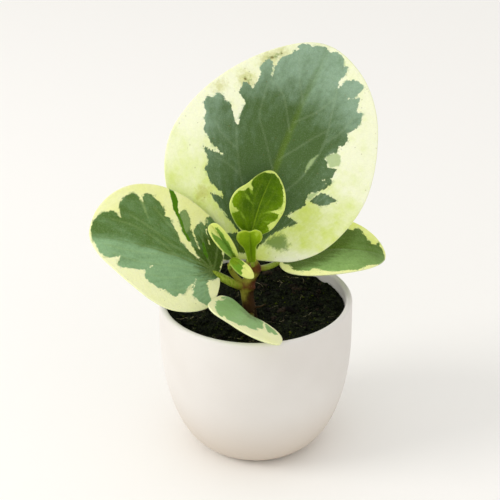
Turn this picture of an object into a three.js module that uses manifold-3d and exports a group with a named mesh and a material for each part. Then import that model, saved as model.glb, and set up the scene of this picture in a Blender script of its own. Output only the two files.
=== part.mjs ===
// Potted peperomia: a small variegated house plant in a round-bottomed white ceramic pot.
// Millimetres, +Z up. The origin is the centre of the pot's flat underside, and the
// plant is seen from the front along +Y. Every leaf, with its petiole, is a piece of its own.
import * as THREE from 'three';
import { mergeVertices } from 'three/addons/utils/BufferGeometryUtils.js';
import Module from 'manifold-3d';

const wasm = await Module();
wasm.setup();

// ---------------------------------------------------------------- driving dimensions

const GAP = 0.3; // clear space kept between neighbouring pieces

const POT = {
  height: 66.5,
  radius: 40, // outside, from the shoulder up
  footRadius: 19, // flat disc that the pot stands on
  shoulder: 50.5, // height where the rounded bowl turns into an upright wall
  wall: 2.8,
  floor: 4.5,
  lip: 1.4, // radius of the rounded rim
  sides: 56,
  bowlSteps: 9,
};

const SOIL = {
  level: 61.9, // mean height of the surface
  crown: 0.9, // how far the middle stands above the edge
  bump: 0.55, // height of the clods
  rings: 9,
  sides: 40,
};

const STEM = {
  route: [[-1.3, -9.4, 50], [-1.7, -9.7, 61.5], [-3.2, -8.2, 70], [-3.3, -7.2, 75], [-1.6, -5.9, 79.5], [-0.2, -4.9, 82.8],
    [-1, -4.7, 87]],
  radius: 2.6,
  tipRadius: 1.2,
  nodes: [[0.66, 0.8], [0.87, 0.7]], // share of the length, extra radius of the swelling
  nodeSpread: 0.045,
  sides: 12,
  steps: 26,
};

const SHOOT = {
  route: [[-3.4, -7, 74.8], [-6.8, -7.8, 78.4], [-9.4, -8.9, 82.8], [-10.2, -10.4, 86.8]],
  radius: 1.15,
  baseRadius: 1.7,
  sides: 8,
  steps: 10,
};

const STUB = {
  route: [[-2, -9, 66.2], [1.9, -10.5, 67.4], [4.1, -11.2, 69]], // dry scale of a fallen leaf
  radius: 0.75,
  tipRadius: 0.3,
  sides: 6,
  steps: 4,
};

// ---------------------------------------------------------------- leaves
//
// A blade is drawn flat and then bent. Flat, q runs along the midrib from its base, p across it,
// and the margin is a smooth curve through a few (p, q) points on either side. Bent, the
// midrib follows a Bezier curve, `across` is the direction that positive p takes, each half rises by
// `fold` degrees from the midrib and goes on curling up by `curl` degrees every 10 mm.

const BLADE = { thickness: 1.2, edge: 0.75 };

const LEAVES = {
  leaf_back: {
    colour: 0x6f9368,
    rib: [[-1.5, 1, 83.5], [3.5, 8, 112], [17, 21, 140], [31, 27, 165]],
    across: [[0.93, -0.12, -0.34], [0.93, -0.12, -0.34]],
    fold: [8, 8],
    curl: [-2, -2],
    base: [0, -0.6],
    tip: [0, 91.9],
    left: [[-7, 0.3], [-18, 2], [-30, 8], [-39, 18], [-44, 29], [-44.8, 39], [-41.8, 50], [-36, 61.5], [-27.5, 73],
      [-17.5, 83], [-8, 89.6]],
    right: [[7, 0.2], [17, 2], [27.5, 9.2], [35, 22], [38.8, 38], [37, 56], [30, 74], [20, 85.3], [9, 90.8]],
    petiole: { route: [[-1, -4.7, 82], [-2.2, -1.6, 81.4], [-2.3, 1.2, 83.2]], radius: 1.5, along: 16 },
    rows: 22,
    columns: 7,
  },
  leaf_left: {
    colour: 0x7fa274,
    rib: [[-17, -8.9, 82.9], [-30, -9.9, 90.4], [-48, -12.9, 99.4], [-63.8, -13.9, 101.2]],
    across: [[0.1, 0.74, 0.67], [0.1, 0.74, 0.6]],
    fold: [8, 8],
    curl: [5, 7],
    base: [0, -3],
    tip: [0, 52.3],
    left: [[-4, -4.2], [-11, -4], [-18, -1.2], [-23.5, 6.5], [-26.2, 16], [-24.6, 24.5], [-20, 33], [-14, 41.5], [-7.5, 48.6]],
    right: [[5, -2.6], [12, -0.5], [18, 4.5], [21.8, 12.5], [24.5, 22], [25.2, 31], [22.8, 39.8], [17, 46.6], [8.5, 51.3]],
    petiole: { route: [[-3.2, -7.3, 74.4], [-8, -8.8, 76.8], [-13, -9.2, 79.9]], radius: 1.7, along: 12 },
    rows: 18,
    columns: 6,
  },
  leaf_right: {
    colour: 0x6f9b5c,
    rib: [[10.4, 9, 78.7], [22, 11, 82.5], [40, 14.5, 83], [54.2, 16, 76.3]],
    across: [[0, -0.98, -0.2], [0, -0.98, -0.2]],
    fold: [4, 4],
    curl: [-2, -2],
    base: [0, -0.5],
    tip: [0, 46.3],
    left: [[-5, 0.2], [-12, 5], [-18, 13.5], [-20.4, 24], [-18.6, 34], [-12.5, 41.5], [-5.5, 45.5]],
    right: [[5, -1.2], [11, 1], [15.6, 7], [17.4, 16], [16.2, 26.5], [12, 36.6], [6, 43.5]],
    petiole: { route: [[-0.4, -4.9, 81.8], [2.4, -1.2, 80.1], [6.2, 3.6, 78.6]], radius: 1.25, along: 11 },
    rows: 16,
    columns: 5,
  },
  leaf_front: {
    colour: 0x86a877,
    rib: [[-2.4, -23.5, 70.2], [-4.3, -33.5, 73.4], [-6.2, -43, 77.2], [-8, -51.5, 81]],
    across: [[-0.84, 0.16, 0.51], [-0.84, 0.16, 0.51]],
    fold: [1, 3],
    curl: [9, -5],
    base: [0, -1.6],
    tip: [0, 29.5],
    left: [[-4.5, -2.8], [-8.5, -1.8], [-12.6, 2], [-15.6, 8], [-17.2, 17], [-16.8, 25], [-11, 28.8]],
    right: [[5, -4], [10, -6.5], [13.8, -3], [15.3, 5], [15.2, 15], [14, 24], [9.4, 30.6]],
    petiole: { route: [[-1.7, -9.7, 64], [-1.9, -14.5, 64.6], [-2.2, -19.4, 67.1]], radius: 1.2, along: 9 },
    rows: 14,
    columns: 5,
  },
  leaf_young: {
    colour: 0x6fae1c,
    rib: [[-1.6, -4, 95], [-1, -3.5, 101], [2.5, -1.5, 112], [7.8, 3, 121]],
    across: [[1, -0.05, -0.2], [1, -0.05, -0.3]],
    fold: [12, 12],
    curl: [3, 3],
    base: [0, 0.4],
    tip: [0, 29],
    left: [[-3.4, 2.1], [-8.5, 6.2], [-12.2, 11.6], [-11.6, 16.6], [-8, 21], [-5.6, 25.2], [-2.6, 28.2]],
    right: [[3.4, 2], [7.2, 5.4], [9.5, 11.3], [10.1, 17], [8, 22.8], [4.2, 27]],
    petiole: { route: [[-1.1, -4.5, 85.4], [-1.6, -4.1, 89.2], [-1.8, -3.7, 93]], radius: 0.85, along: 8 },
    rows: 14,
    columns: 4,
  },
  leaf_bud: {
    colour: 0x98c92c,
    rib: [[-1.3, -7, 85.8], [-1.7, -7.7, 91.2], [-1.9, -8, 97.2], [-2.1, -10, 101.8]],
    across: [[1, 0, 0], [1, 0, 0]],
    fold: [14, 14],
    curl: [4, 4],
    base: [0, 0],
    tip: [0, 15.5],
    left: [[-1.7, 0.5], [-2.3, 4], [-3, 7.4], [-4.8, 10.3], [-5.8, 13.4], [-4.7, 16.3], [-1.9, 16.8]],
    right: [[1.7, 0.5], [2.1, 4.4], [2.6, 8.4], [4.5, 10.9], [5.2, 13.6], [4.4, 16.4], [1.9, 16.9]],
    petiole: { route: [[-0.8, -5, 82.4], [-1, -6.5, 84.2]], radius: 0.8, along: 7 },
    rows: 12,
    columns: 3,
  },
  shoot_leaf_upper: {
    colour: 0xb3c95a,
    rib: [[-7.7, -12.6, 89.8], [-9.8, -13.2, 94.5], [-13.2, -13.2, 100.5], [-17, -12.2, 105]],
    across: [[0.8, 0.2, 0.5], [0.8, 0.2, 0.5]],
    fold: [38, 38],
    curl: [0, 0],
    base: [0, 0],
    tip: [0, 18.7],
    left: [[-1.1, 0.8], [-2.2, 3.8], [-3.7, 8.2], [-4.1, 13], [-3.4, 16.8], [-1.9, 18.6]],
    right: [[1.8, 0.8], [3, 4.4], [3.6, 8.4], [3.7, 12.4], [3.4, 15.8], [2.2, 18]],
    petiole: { route: [[-9.8, -10.2, 85.8], [-8.7, -11, 87.9]], radius: 0.62, along: 5 },
    rows: 9,
    columns: 3,
  },
  shoot_leaf_lower: {
    colour: 0xc6d67a,
    rib: [[-8.6, -15.9, 91.4], [-6.8, -17.7, 91.6], [-3.6, -19.3, 89.3], [-0.6, -20.8, 85.7]],
    across: [[-0.6, -0.6, -0.5], [-0.6, -0.6, -0.5]],
    fold: [5, 5],
    curl: [-5, -5],
    base: [0, -1.6],
    tip: [0, 11.2],
    left: [[-1.3, -0.9], [-1.6, 1], [-1.9, 4.2], [-2, 7], [-1.2, 9.9]],
    right: [[1.6, -1.1], [2.9, 0.8], [3.7, 3.9], [3.5, 7.2], [1.8, 10.3]],
    petiole: { route: [[-9.8, -9.9, 84.4], [-10.4, -12.9, 86.2], [-9.7, -15.3, 89.3]], radius: 0.62, along: 4 },
    rows: 8,
    columns: 3,
  },
};

// ---------------------------------------------------------------- small helpers

const vector = ([x, y, z]) => new THREE.Vector3(x, y, z);
const mix = (a, b, t) => a + (b - a) * t;
const radians = THREE.MathUtils.degToRad;

/** Merges equal corners and drops the triangles that this leaves without area. */
function welded(geometry) {
  geometry.deleteAttribute('normal');
  geometry.deleteAttribute('uv');
  const merged = mergeVertices(geometry, 1e-4);
  const kept = [];
  const index = merged.index.array;
  for (let i = 0; i < index.length; i += 3) {
    const [a, b, c] = index.slice(i, i + 3);
    if (a !== b && b !== c && c !== a) kept.push(a, b, c);
  }
  merged.setIndex(kept);
  return merged;
}

function toSolid(geometry) {
  const flat = welded(geometry);
  return new wasm.Manifold(new wasm.Mesh({
    numProp: 3,
    vertProperties: Float32Array.from(flat.attributes.position.array),
    triVerts: Uint32Array.from(flat.index.array),
  }));
}

function toGeometry(solid) {
  const mesh = solid.getMesh();
  const geometry = new THREE.BufferGeometry();
  geometry.setAttribute('position', new THREE.BufferAttribute(Float32Array.from(mesh.vertProperties), 3));
  geometry.setIndex(Array.from(mesh.triVerts));
  geometry.computeVertexNormals();
  return geometry;
}

/** A round rod with closed, slightly domed ends, turned straight and then bent along a smooth route. */
function rod(route, radiusAt, sides, steps) {
  const curve = new THREE.CatmullRomCurve3(route.map(vector), false, 'centripetal');
  const profile = [new THREE.Vector2(0, 0)];
  for (let i = 0; i <= steps; i += 1) profile.push(new THREE.Vector2(radiusAt(i / steps), i));
  profile.push(new THREE.Vector2(0, steps));
  const geometry = new THREE.LatheGeometry(profile, sides);
  const frames = curve.computeFrenetFrames(steps);
  const position = geometry.attributes.position;
  for (let i = 0; i < position.count; i += 1) {
    const step = Math.round(position.getY(i));
    const place = curve.getPointAt(step / steps)
      .addScaledVector(frames.normals[step], position.getX(i))
      .addScaledVector(frames.binormals[step], position.getZ(i));
    position.setXYZ(i, place.x, place.y, place.z);
  }
  return toSolid(outward(geometry));
}

/** Turns a closed geometry's triangles over if its volume comes out negative. */
function outward(geometry) {
  const flat = welded(geometry);
  const { array } = flat.attributes.position;
  const index = flat.index.array;
  const corner = (i) => new THREE.Vector3(array[3 * i], array[3 * i + 1], array[3 * i + 2]);
  let volume = 0;
  for (let i = 0; i < index.length; i += 3) {
    volume += corner(index[i]).dot(corner(index[i + 1]).cross(corner(index[i + 2])));
  }
  if (volume < 0) {
    for (let i = 0; i < index.length; i += 3) [index[i], index[i + 1]] = [index[i + 1], index[i]];
  }
  return flat;
}

// ---------------------------------------------------------------- pot and soil

/** Outside radius of the pot at a height: a quarter ellipse up to the shoulder, then upright. */
function potRadius(z) {
  const rise = Math.max(0, 1 - z / POT.shoulder);
  return POT.footRadius + (POT.radius - POT.footRadius) * Math.sqrt(1 - rise * rise);
}

function makePot() {
  const profile = [new THREE.Vector2(0, 0), new THREE.Vector2(POT.footRadius, 0)];
  for (let i = 1; i <= POT.bowlSteps; i += 1) {
    const turn = (Math.PI / 2) * (i / POT.bowlSteps);
    const z = POT.shoulder * (1 - Math.cos(turn));
    profile.push(new THREE.Vector2(potRadius(z), z));
  }
  const lipCentre = [POT.radius - POT.lip, POT.height - POT.lip];
  for (const degrees of [0, 30, 60, 90, 120, 150, 180]) {
    const turn = radians(degrees);
    profile.push(new THREE.Vector2(lipCentre[0] + POT.lip * Math.cos(turn), lipCentre[1] + POT.lip * Math.sin(turn)));
  }
  for (let i = POT.bowlSteps; i >= 0; i -= 1) {
    const turn = (Math.PI / 2) * (i / POT.bowlSteps);
    const z = mix(POT.floor, POT.shoulder, 1 - Math.cos(turn));
    profile.push(new THREE.Vector2(insideRadius(z), z));
  }
  profile.push(new THREE.Vector2(0, POT.floor));
  return toGeometry(toSolid(outward(latheAboutZ(profile, POT.sides))));
}

/** Inside radius of the pot: the same bowl, drawn in by the wall and starting at the inner floor. */
function insideRadius(z) {
  const rise = Math.max(0, 1 - (z - POT.floor) / (POT.shoulder - POT.floor));
  return (POT.footRadius - POT.wall) + (POT.radius - POT.footRadius) * Math.sqrt(1 - rise * rise);
}

/** A lathe profile of (radius, height) points, with its axis laid along Z. */
function latheAboutZ(profile, sides) {
  const geometry = new THREE.LatheGeometry(profile, sides);
  geometry.rotateX(Math.PI / 2);
  return geometry;
}

/** Height of the soil surface at a place: low clods on a slightly crowned bed. */
function soilHeight(x, y) {
  const share = Math.hypot(x, y) / (POT.radius - POT.wall);
  const clods = Math.sin(0.42 * x + 1.3) * Math.cos(0.37 * y - 0.4) + 0.6 * Math.sin(0.81 * x - 0.53 * y)
    + 0.4 * Math.cos(0.67 * x + 0.94 * y);
  return SOIL.level + SOIL.crown * (0.5 - share * share) + SOIL.bump * 0.5 * clods;
}

/** The soil fills the pot a gap short of its wall. Its stem hole is plain and follows the stem. */
function makeSoil(stemHole) {
  const profile = [new THREE.Vector2(0, POT.floor + GAP)];
  for (let i = 0; i <= POT.bowlSteps; i += 1) {
    const turn = (Math.PI / 2) * (i / POT.bowlSteps);
    const z = mix(POT.floor + GAP, POT.shoulder, 1 - Math.cos(turn));
    profile.push(new THREE.Vector2(insideRadius(z - GAP) - GAP, z));
  }
  const edge = POT.radius - POT.wall - GAP;
  for (let i = SOIL.rings; i >= 0; i -= 1) profile.push(new THREE.Vector2(edge * (i / SOIL.rings), SOIL.level));
  const geometry = latheAboutZ(profile, SOIL.sides);
  const position = geometry.attributes.position;
  for (let i = 0; i < position.count; i += 1) {
    if (position.getZ(i) > SOIL.level - 0.01) {
      position.setZ(i, soilHeight(position.getX(i), position.getY(i)));
    }
  }
  return toGeometry(toSolid(outward(geometry)).subtract(stemHole));
}

// ---------------------------------------------------------------- stems

/** A route drawn out at both ends by `extra`. */
function lengthened(route, extra) {
  const end = (tip, before) => {
    const [to, from] = [vector(tip), vector(before)];
    return to.addScaledVector(to.clone().sub(from).normalize(), extra).toArray();
  };
  return [end(route[0], route[1]), ...route.slice(1, -1), end(route.at(-1), route.at(-2))];
}

/** Main stem, swollen at its nodes and drawn in to the growing tip. `extra` widens it for clearances. */
function mainStem(extra) {
  const radiusAt = (t) => {
    const swelling = STEM.nodes.reduce((sum, [at, size]) => sum + size * Math.exp(-(((t - at) / STEM.nodeSpread) ** 2)), 0);
    const taper = mix(STEM.radius, STEM.tipRadius, THREE.MathUtils.smoothstep(t, 0.8, 1));
    return taper + swelling + extra;
  };
  return rod(lengthened(STEM.route, extra), radiusAt, STEM.sides, STEM.steps);
}

function sideShoot(extra) {
  return rod(lengthened(SHOOT.route, extra), (t) => mix(SHOOT.baseRadius, SHOOT.radius, Math.min(1, 3 * t)) + extra, SHOOT.sides, SHOOT.steps);
}

function driedScale(extra) {
  return rod(lengthened(STUB.route, extra), (t) => mix(STUB.radius, STUB.tipRadius, t) + extra, STUB.sides, STUB.steps);
}

/** The whole stem as one grown piece, widened by `extra`. */
function stemSolid(extra) {
  return mainStem(extra).add(sideShoot(extra)).add(driedScale(extra));
}

// ---------------------------------------------------------------- blades

/** One side of a blade's margin as a smooth curve from base to tip, in (p, q). */
function marginCurve(leaf, side) {
  const [near, far] = side < 0 ? [leaf.left, leaf.right] : [leaf.right, leaf.left];
  const points = [far[0], leaf.base, ...near, leaf.tip, far[far.length - 1]].map(([p, q]) => new THREE.Vector3(p, q, 0));
  const curve = new THREE.CatmullRomCurve3(points, false, 'centripetal');
  const spans = points.length - 1;
  // The first and last spans only steer the tangents, so the margin starts and ends one span in.
  const samples = [];
  for (let i = 0; i <= 12 * (spans - 2); i += 1) samples.push(curve.getPoint((1 + i / 12) / spans));
  return evenly(samples, leaf.rows);
}

/** Points at equal distances along a polyline. */
function evenly(samples, count) {
  const lengths = [0];
  for (let i = 1; i < samples.length; i += 1) lengths.push(lengths[i - 1] + samples[i].distanceTo(samples[i - 1]));
  const total = lengths[lengths.length - 1];
  const points = [];
  for (let k = 0; k <= count; k += 1) {
    const wanted = total * (k / count);
    let i = 1;
    while (i < samples.length - 1 && lengths[i] < wanted) i += 1;
    const t = (wanted - lengths[i - 1]) / (lengths[i] - lengths[i - 1]);
    points.push(samples[i - 1].clone().lerp(samples[i], t));
  }
  return points;
}

/** Midrib position and the leaf's own directions at a distance q along it. */
function ribFrame(leaf, q) {
  const reach = Math.min(Math.max(q / leaf.length, 0), 1);
  const place = leaf.curve.getPointAt(reach);
  const along = leaf.curve.getTangentAt(reach);
  place.addScaledVector(along, q - reach * leaf.length);
  const across = vector(leaf.across[0]).lerp(vector(leaf.across[1]), reach);
  across.addScaledVector(along, -across.dot(along)).normalize();
  const up = across.clone().cross(along);
  return { place, along, across, up };
}

/** The point of the bent blade at (p, q), lifted off its middle surface. */
function bladePoint(leaf, p, q, lift) {
  const { place, across, up } = ribFrame(leaf, q);
  const side = p < 0 ? 0 : 1;
  const start = radians(leaf.fold[side]);
  const bend = radians(leaf.curl[side]) / 10 || 1e-6;
  const reach = Math.abs(p);
  const end = start + bend * reach;
  const outwards = (Math.sin(end) - Math.sin(start)) / bend;
  const rise = (Math.cos(start) - Math.cos(end)) / bend;
  const tilt = reach < 1e-3 ? 0 : end;
  const sideways = side === 0 ? -1 : 1;
  return place
    .addScaledVector(across, sideways * (outwards - lift * Math.sin(tilt)))
    .addScaledVector(up, rise + lift * Math.cos(tilt));
}

/** A blade's closed skin: a top and a bottom net between midrib and margins, split alike, and a rim. */
function bladeGeometry(leaf) {
  const margins = [marginCurve(leaf, -1), marginCurve(leaf, 1)];
  const { rows, columns } = leaf;
  const positions = [];
  const index = [];
  const width = 2 * columns + 1;
  const layerSize = (rows + 1) * width;
  for (const face of [1, -1]) {
    for (let row = 0; row <= rows; row += 1) {
      const ribQ = mix(leaf.base[1], leaf.tip[1], row / rows);
      for (let column = -columns; column <= columns; column += 1) {
        const u = Math.abs(column) / columns;
        const edge = margins[column < 0 ? 0 : 1][row];
        const towardsEnd = Math.abs(2 * row / rows - 1) ** 4;
        const half = 0.5 * mix(BLADE.thickness, BLADE.edge, Math.max(u * u, towardsEnd));
        const point = bladePoint(leaf, edge.x * u, mix(ribQ, edge.y, u), face * half);
        positions.push(point.x, point.y, point.z);
      }
    }
  }
  const at = (layer, row, column) => layer * layerSize + row * width + column;
  for (let row = 0; row < rows; row += 1) {
    for (let column = 0; column < width - 1; column += 1) {
      const ring = (layer) => [at(layer, row, column), at(layer, row, column + 1), at(layer, row + 1, column + 1),
        at(layer, row + 1, column)];
      const [a, b, c, d] = ring(0);
      index.push(...(column < columns ? [a, b, c, a, c, d] : [a, b, d, b, c, d]));
      const [e, f, g, h] = ring(1);
      index.push(...(column < columns ? [e, g, f, e, h, g] : [e, h, f, f, h, g]));
    }
  }
  for (let row = 0; row < rows; row += 1) {
    for (const [column, turn] of [[0, 1], [width - 1, -1]]) {
      const quad = [at(0, row, column), at(0, row + 1, column), at(1, row + 1, column), at(1, row, column)];
      if (turn < 0) quad.reverse();
      const [a, b, c, d] = quad;
      index.push(a, b, c, a, c, d);
    }
  }
  const geometry = new THREE.BufferGeometry();
  geometry.setAttribute('position', new THREE.Float32BufferAttribute(positions, 3));
  geometry.setIndex(index);
  return geometry;
}

/** The petiole runs from inside the stem to the blade, and on under the midrib as a fading keel. */
function petioleSolid(leaf) {
  const { route, radius, along } = leaf.petiole;
  const keel = [0.2, 0.5, 1].map((share) => bladePoint(leaf, 0, along * share, -mix(0.75 * radius, 0.45, share)).toArray());
  const radiusAt = (t) => mix(radius, 0.45, THREE.MathUtils.smoothstep(t, 0.35, 1));
  return rod([...route, ...keel], radiusAt, 8, 14);
}

/** Blade and petiole as one piece, ending a gap short of the stem. */
function makeLeaf(leaf, clearOfStem) {
  leaf.curve = new THREE.CubicBezierCurve3(...leaf.rib.map(vector));
  leaf.length = leaf.curve.getLength();
  const whole = toSolid(outward(bladeGeometry(leaf))).add(petioleSolid(leaf)).subtract(clearOfStem);
  const pieces = whole.decompose().sort((a, b) => b.volume() - a.volume());
  return toGeometry(pieces[0]);
}

// ---------------------------------------------------------------- assembly

function mesh(name, geometry, colour, roughness) {
  const material = new THREE.MeshStandardMaterial({ color: colour, roughness, metalness: 0 });
  const piece = new THREE.Mesh(geometry, material);
  piece.name = name;
  return piece;
}

const plant = new THREE.Group();
const clearOfStem = stemSolid(GAP);
plant.add(mesh('pot', makePot(), 0xf1efec, 0.55));
plant.add(mesh('soil', makeSoil(mainStem(GAP)), 0x1b1815, 0.95));
plant.add(mesh('stem', toGeometry(stemSolid(0)), 0x6b4a2c, 0.5));
for (const [name, leaf] of Object.entries(LEAVES)) {
  plant.add(mesh(name, makeLeaf(leaf, clearOfStem), leaf.colour, 0.4));
}

export default plant;
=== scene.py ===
"""Potted peperomia: the looks of the plant, its soil and its white ceramic pot.

Lengths are in millimetres, in the frame of the part: +Z up, the origin under the middle of the
pot, and the photographed front facing -Y. MM turns them into Blender's metres.
"""

import math
from itertools import combinations
from types import SimpleNamespace

import bmesh
import bpy
import numpy as np
from mathutils import Matrix, Vector


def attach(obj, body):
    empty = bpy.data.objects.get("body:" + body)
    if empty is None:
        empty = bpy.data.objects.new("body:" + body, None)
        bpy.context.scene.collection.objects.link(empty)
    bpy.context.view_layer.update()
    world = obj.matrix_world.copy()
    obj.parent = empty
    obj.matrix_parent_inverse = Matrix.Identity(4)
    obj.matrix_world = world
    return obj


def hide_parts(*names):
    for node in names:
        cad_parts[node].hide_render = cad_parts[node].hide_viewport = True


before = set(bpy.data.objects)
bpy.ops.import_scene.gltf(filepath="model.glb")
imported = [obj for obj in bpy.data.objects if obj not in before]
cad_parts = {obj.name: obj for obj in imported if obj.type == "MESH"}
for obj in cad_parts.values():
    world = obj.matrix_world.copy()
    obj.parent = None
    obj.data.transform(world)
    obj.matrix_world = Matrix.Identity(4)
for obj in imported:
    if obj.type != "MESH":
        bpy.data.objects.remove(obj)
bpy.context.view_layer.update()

MM = 0.001

# ------------------------------------------------------------------ driving dimensions

CAMERA = {
    "distance": 560,
    "target": (-2.07, 0, 87.9),
    "elevation": 26.4,  # degrees above the horizon
    "roll": -0.55,  # degrees
    "lens": 99.2,  # on a 36 mm sensor
}

POT = {
    "height": 66.5,
    "radius": 40,  # outside, from the shoulder up
    "foot_radius": 19,
    "shoulder": 50.5,  # height where the rounded bowl turns into an upright wall
    "wall": 2.8,
    "floor": 4.5,
    "lip": 1.4,  # radius of the rounded rim
}

SOIL = {
    "level": 61.9,
    "crown": 0.9,  # from the middle down to the wall
    "gap": 0.3,  # between the soil and the pot
    "bank": 2.8,  # extra height at the back
    "bank_rises": (14, 34),  # between these y
    "bank_falls": (6, 24),  # between these x
    "clods": 0.28,  # height of the large lumps of the bed
    "crumbs": 0.22,  # and of the small ones
    "settled": 0.1,  # how far the whole surface is lowered
    "stem_room": 1,  # between loose lumps and the stem
}

STEM = {
    "route": [(-1.3, -9.4, 50), (-1.7, -9.7, 61.5), (-3.2, -8.2, 70), (-3.3, -7.2, 75), (-1.6, -5.9, 79.5),
              (-0.2, -4.9, 82.8), (-1, -4.7, 87)],
    "radius": 2.6,
    "tip_radius": 1.2,
    "nodes": [(0.66, 0.8), (0.87, 0.7)],  # share of the length, extra radius of the swelling
    "node_spread": 0.045,
}
SHOOT = {
    "route": [(-3.4, -7, 74.8), (-6.8, -7.8, 78.4), (-9.4, -8.9, 82.8), (-10.2, -10.4, 86.8)],
    "radius": 1.15,
    "base_radius": 1.7,
}
STUB = {"route": [(-2, -9, 66.2), (1.9, -10.5, 67.4), (4.1, -11.2, 69)], "radius": 0.75, "tip_radius": 0.3}

# ------------------------------------------------------------------ leaves
#
# A blade is drawn flat and then bent. Flat, q runs along the midrib from its base, p across it,
# and the margin is a smooth curve through a few (p, q) points on either side. Bent, the midrib
# follows the Bezier curve "rib", "across" is the direction of positive p, each half rises by
# "fold" degrees from the midrib and goes on curling up by "curl" degrees every 10 mm.
# "across_tip" is the direction at the tip where it differs. "stalk" is the route of the petiole
# from inside the stem to the blade, and the petiole goes on under the midrib as far as
# "stalk_end". "net" has the rows along the blade and the columns across each half.

BLADE = {
    "thickness": 1.2,
    "edge": 0.75,  # thickness behind the rounded edge
    "rounding": 0.4,  # width of the rounded edge
    "inset": 0.1,  # from the drawn margin to the modelled one
    "channel": 0.16,  # depth of the groove over the midrib
    "keel": 0.35,  # height of the ridge under it
    "furrow": 0.04,  # depth of the groove over a vein
    "vein": 0.55,  # half its width
    # and as shares of the blade's length:
    "swell": 0.003,  # height of the soft swells
    "calm": 0.25,  # from the margin to where they are at their full height
    "taper": 0.12,  # from the margin to where the blade is at its full thickness
}

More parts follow.
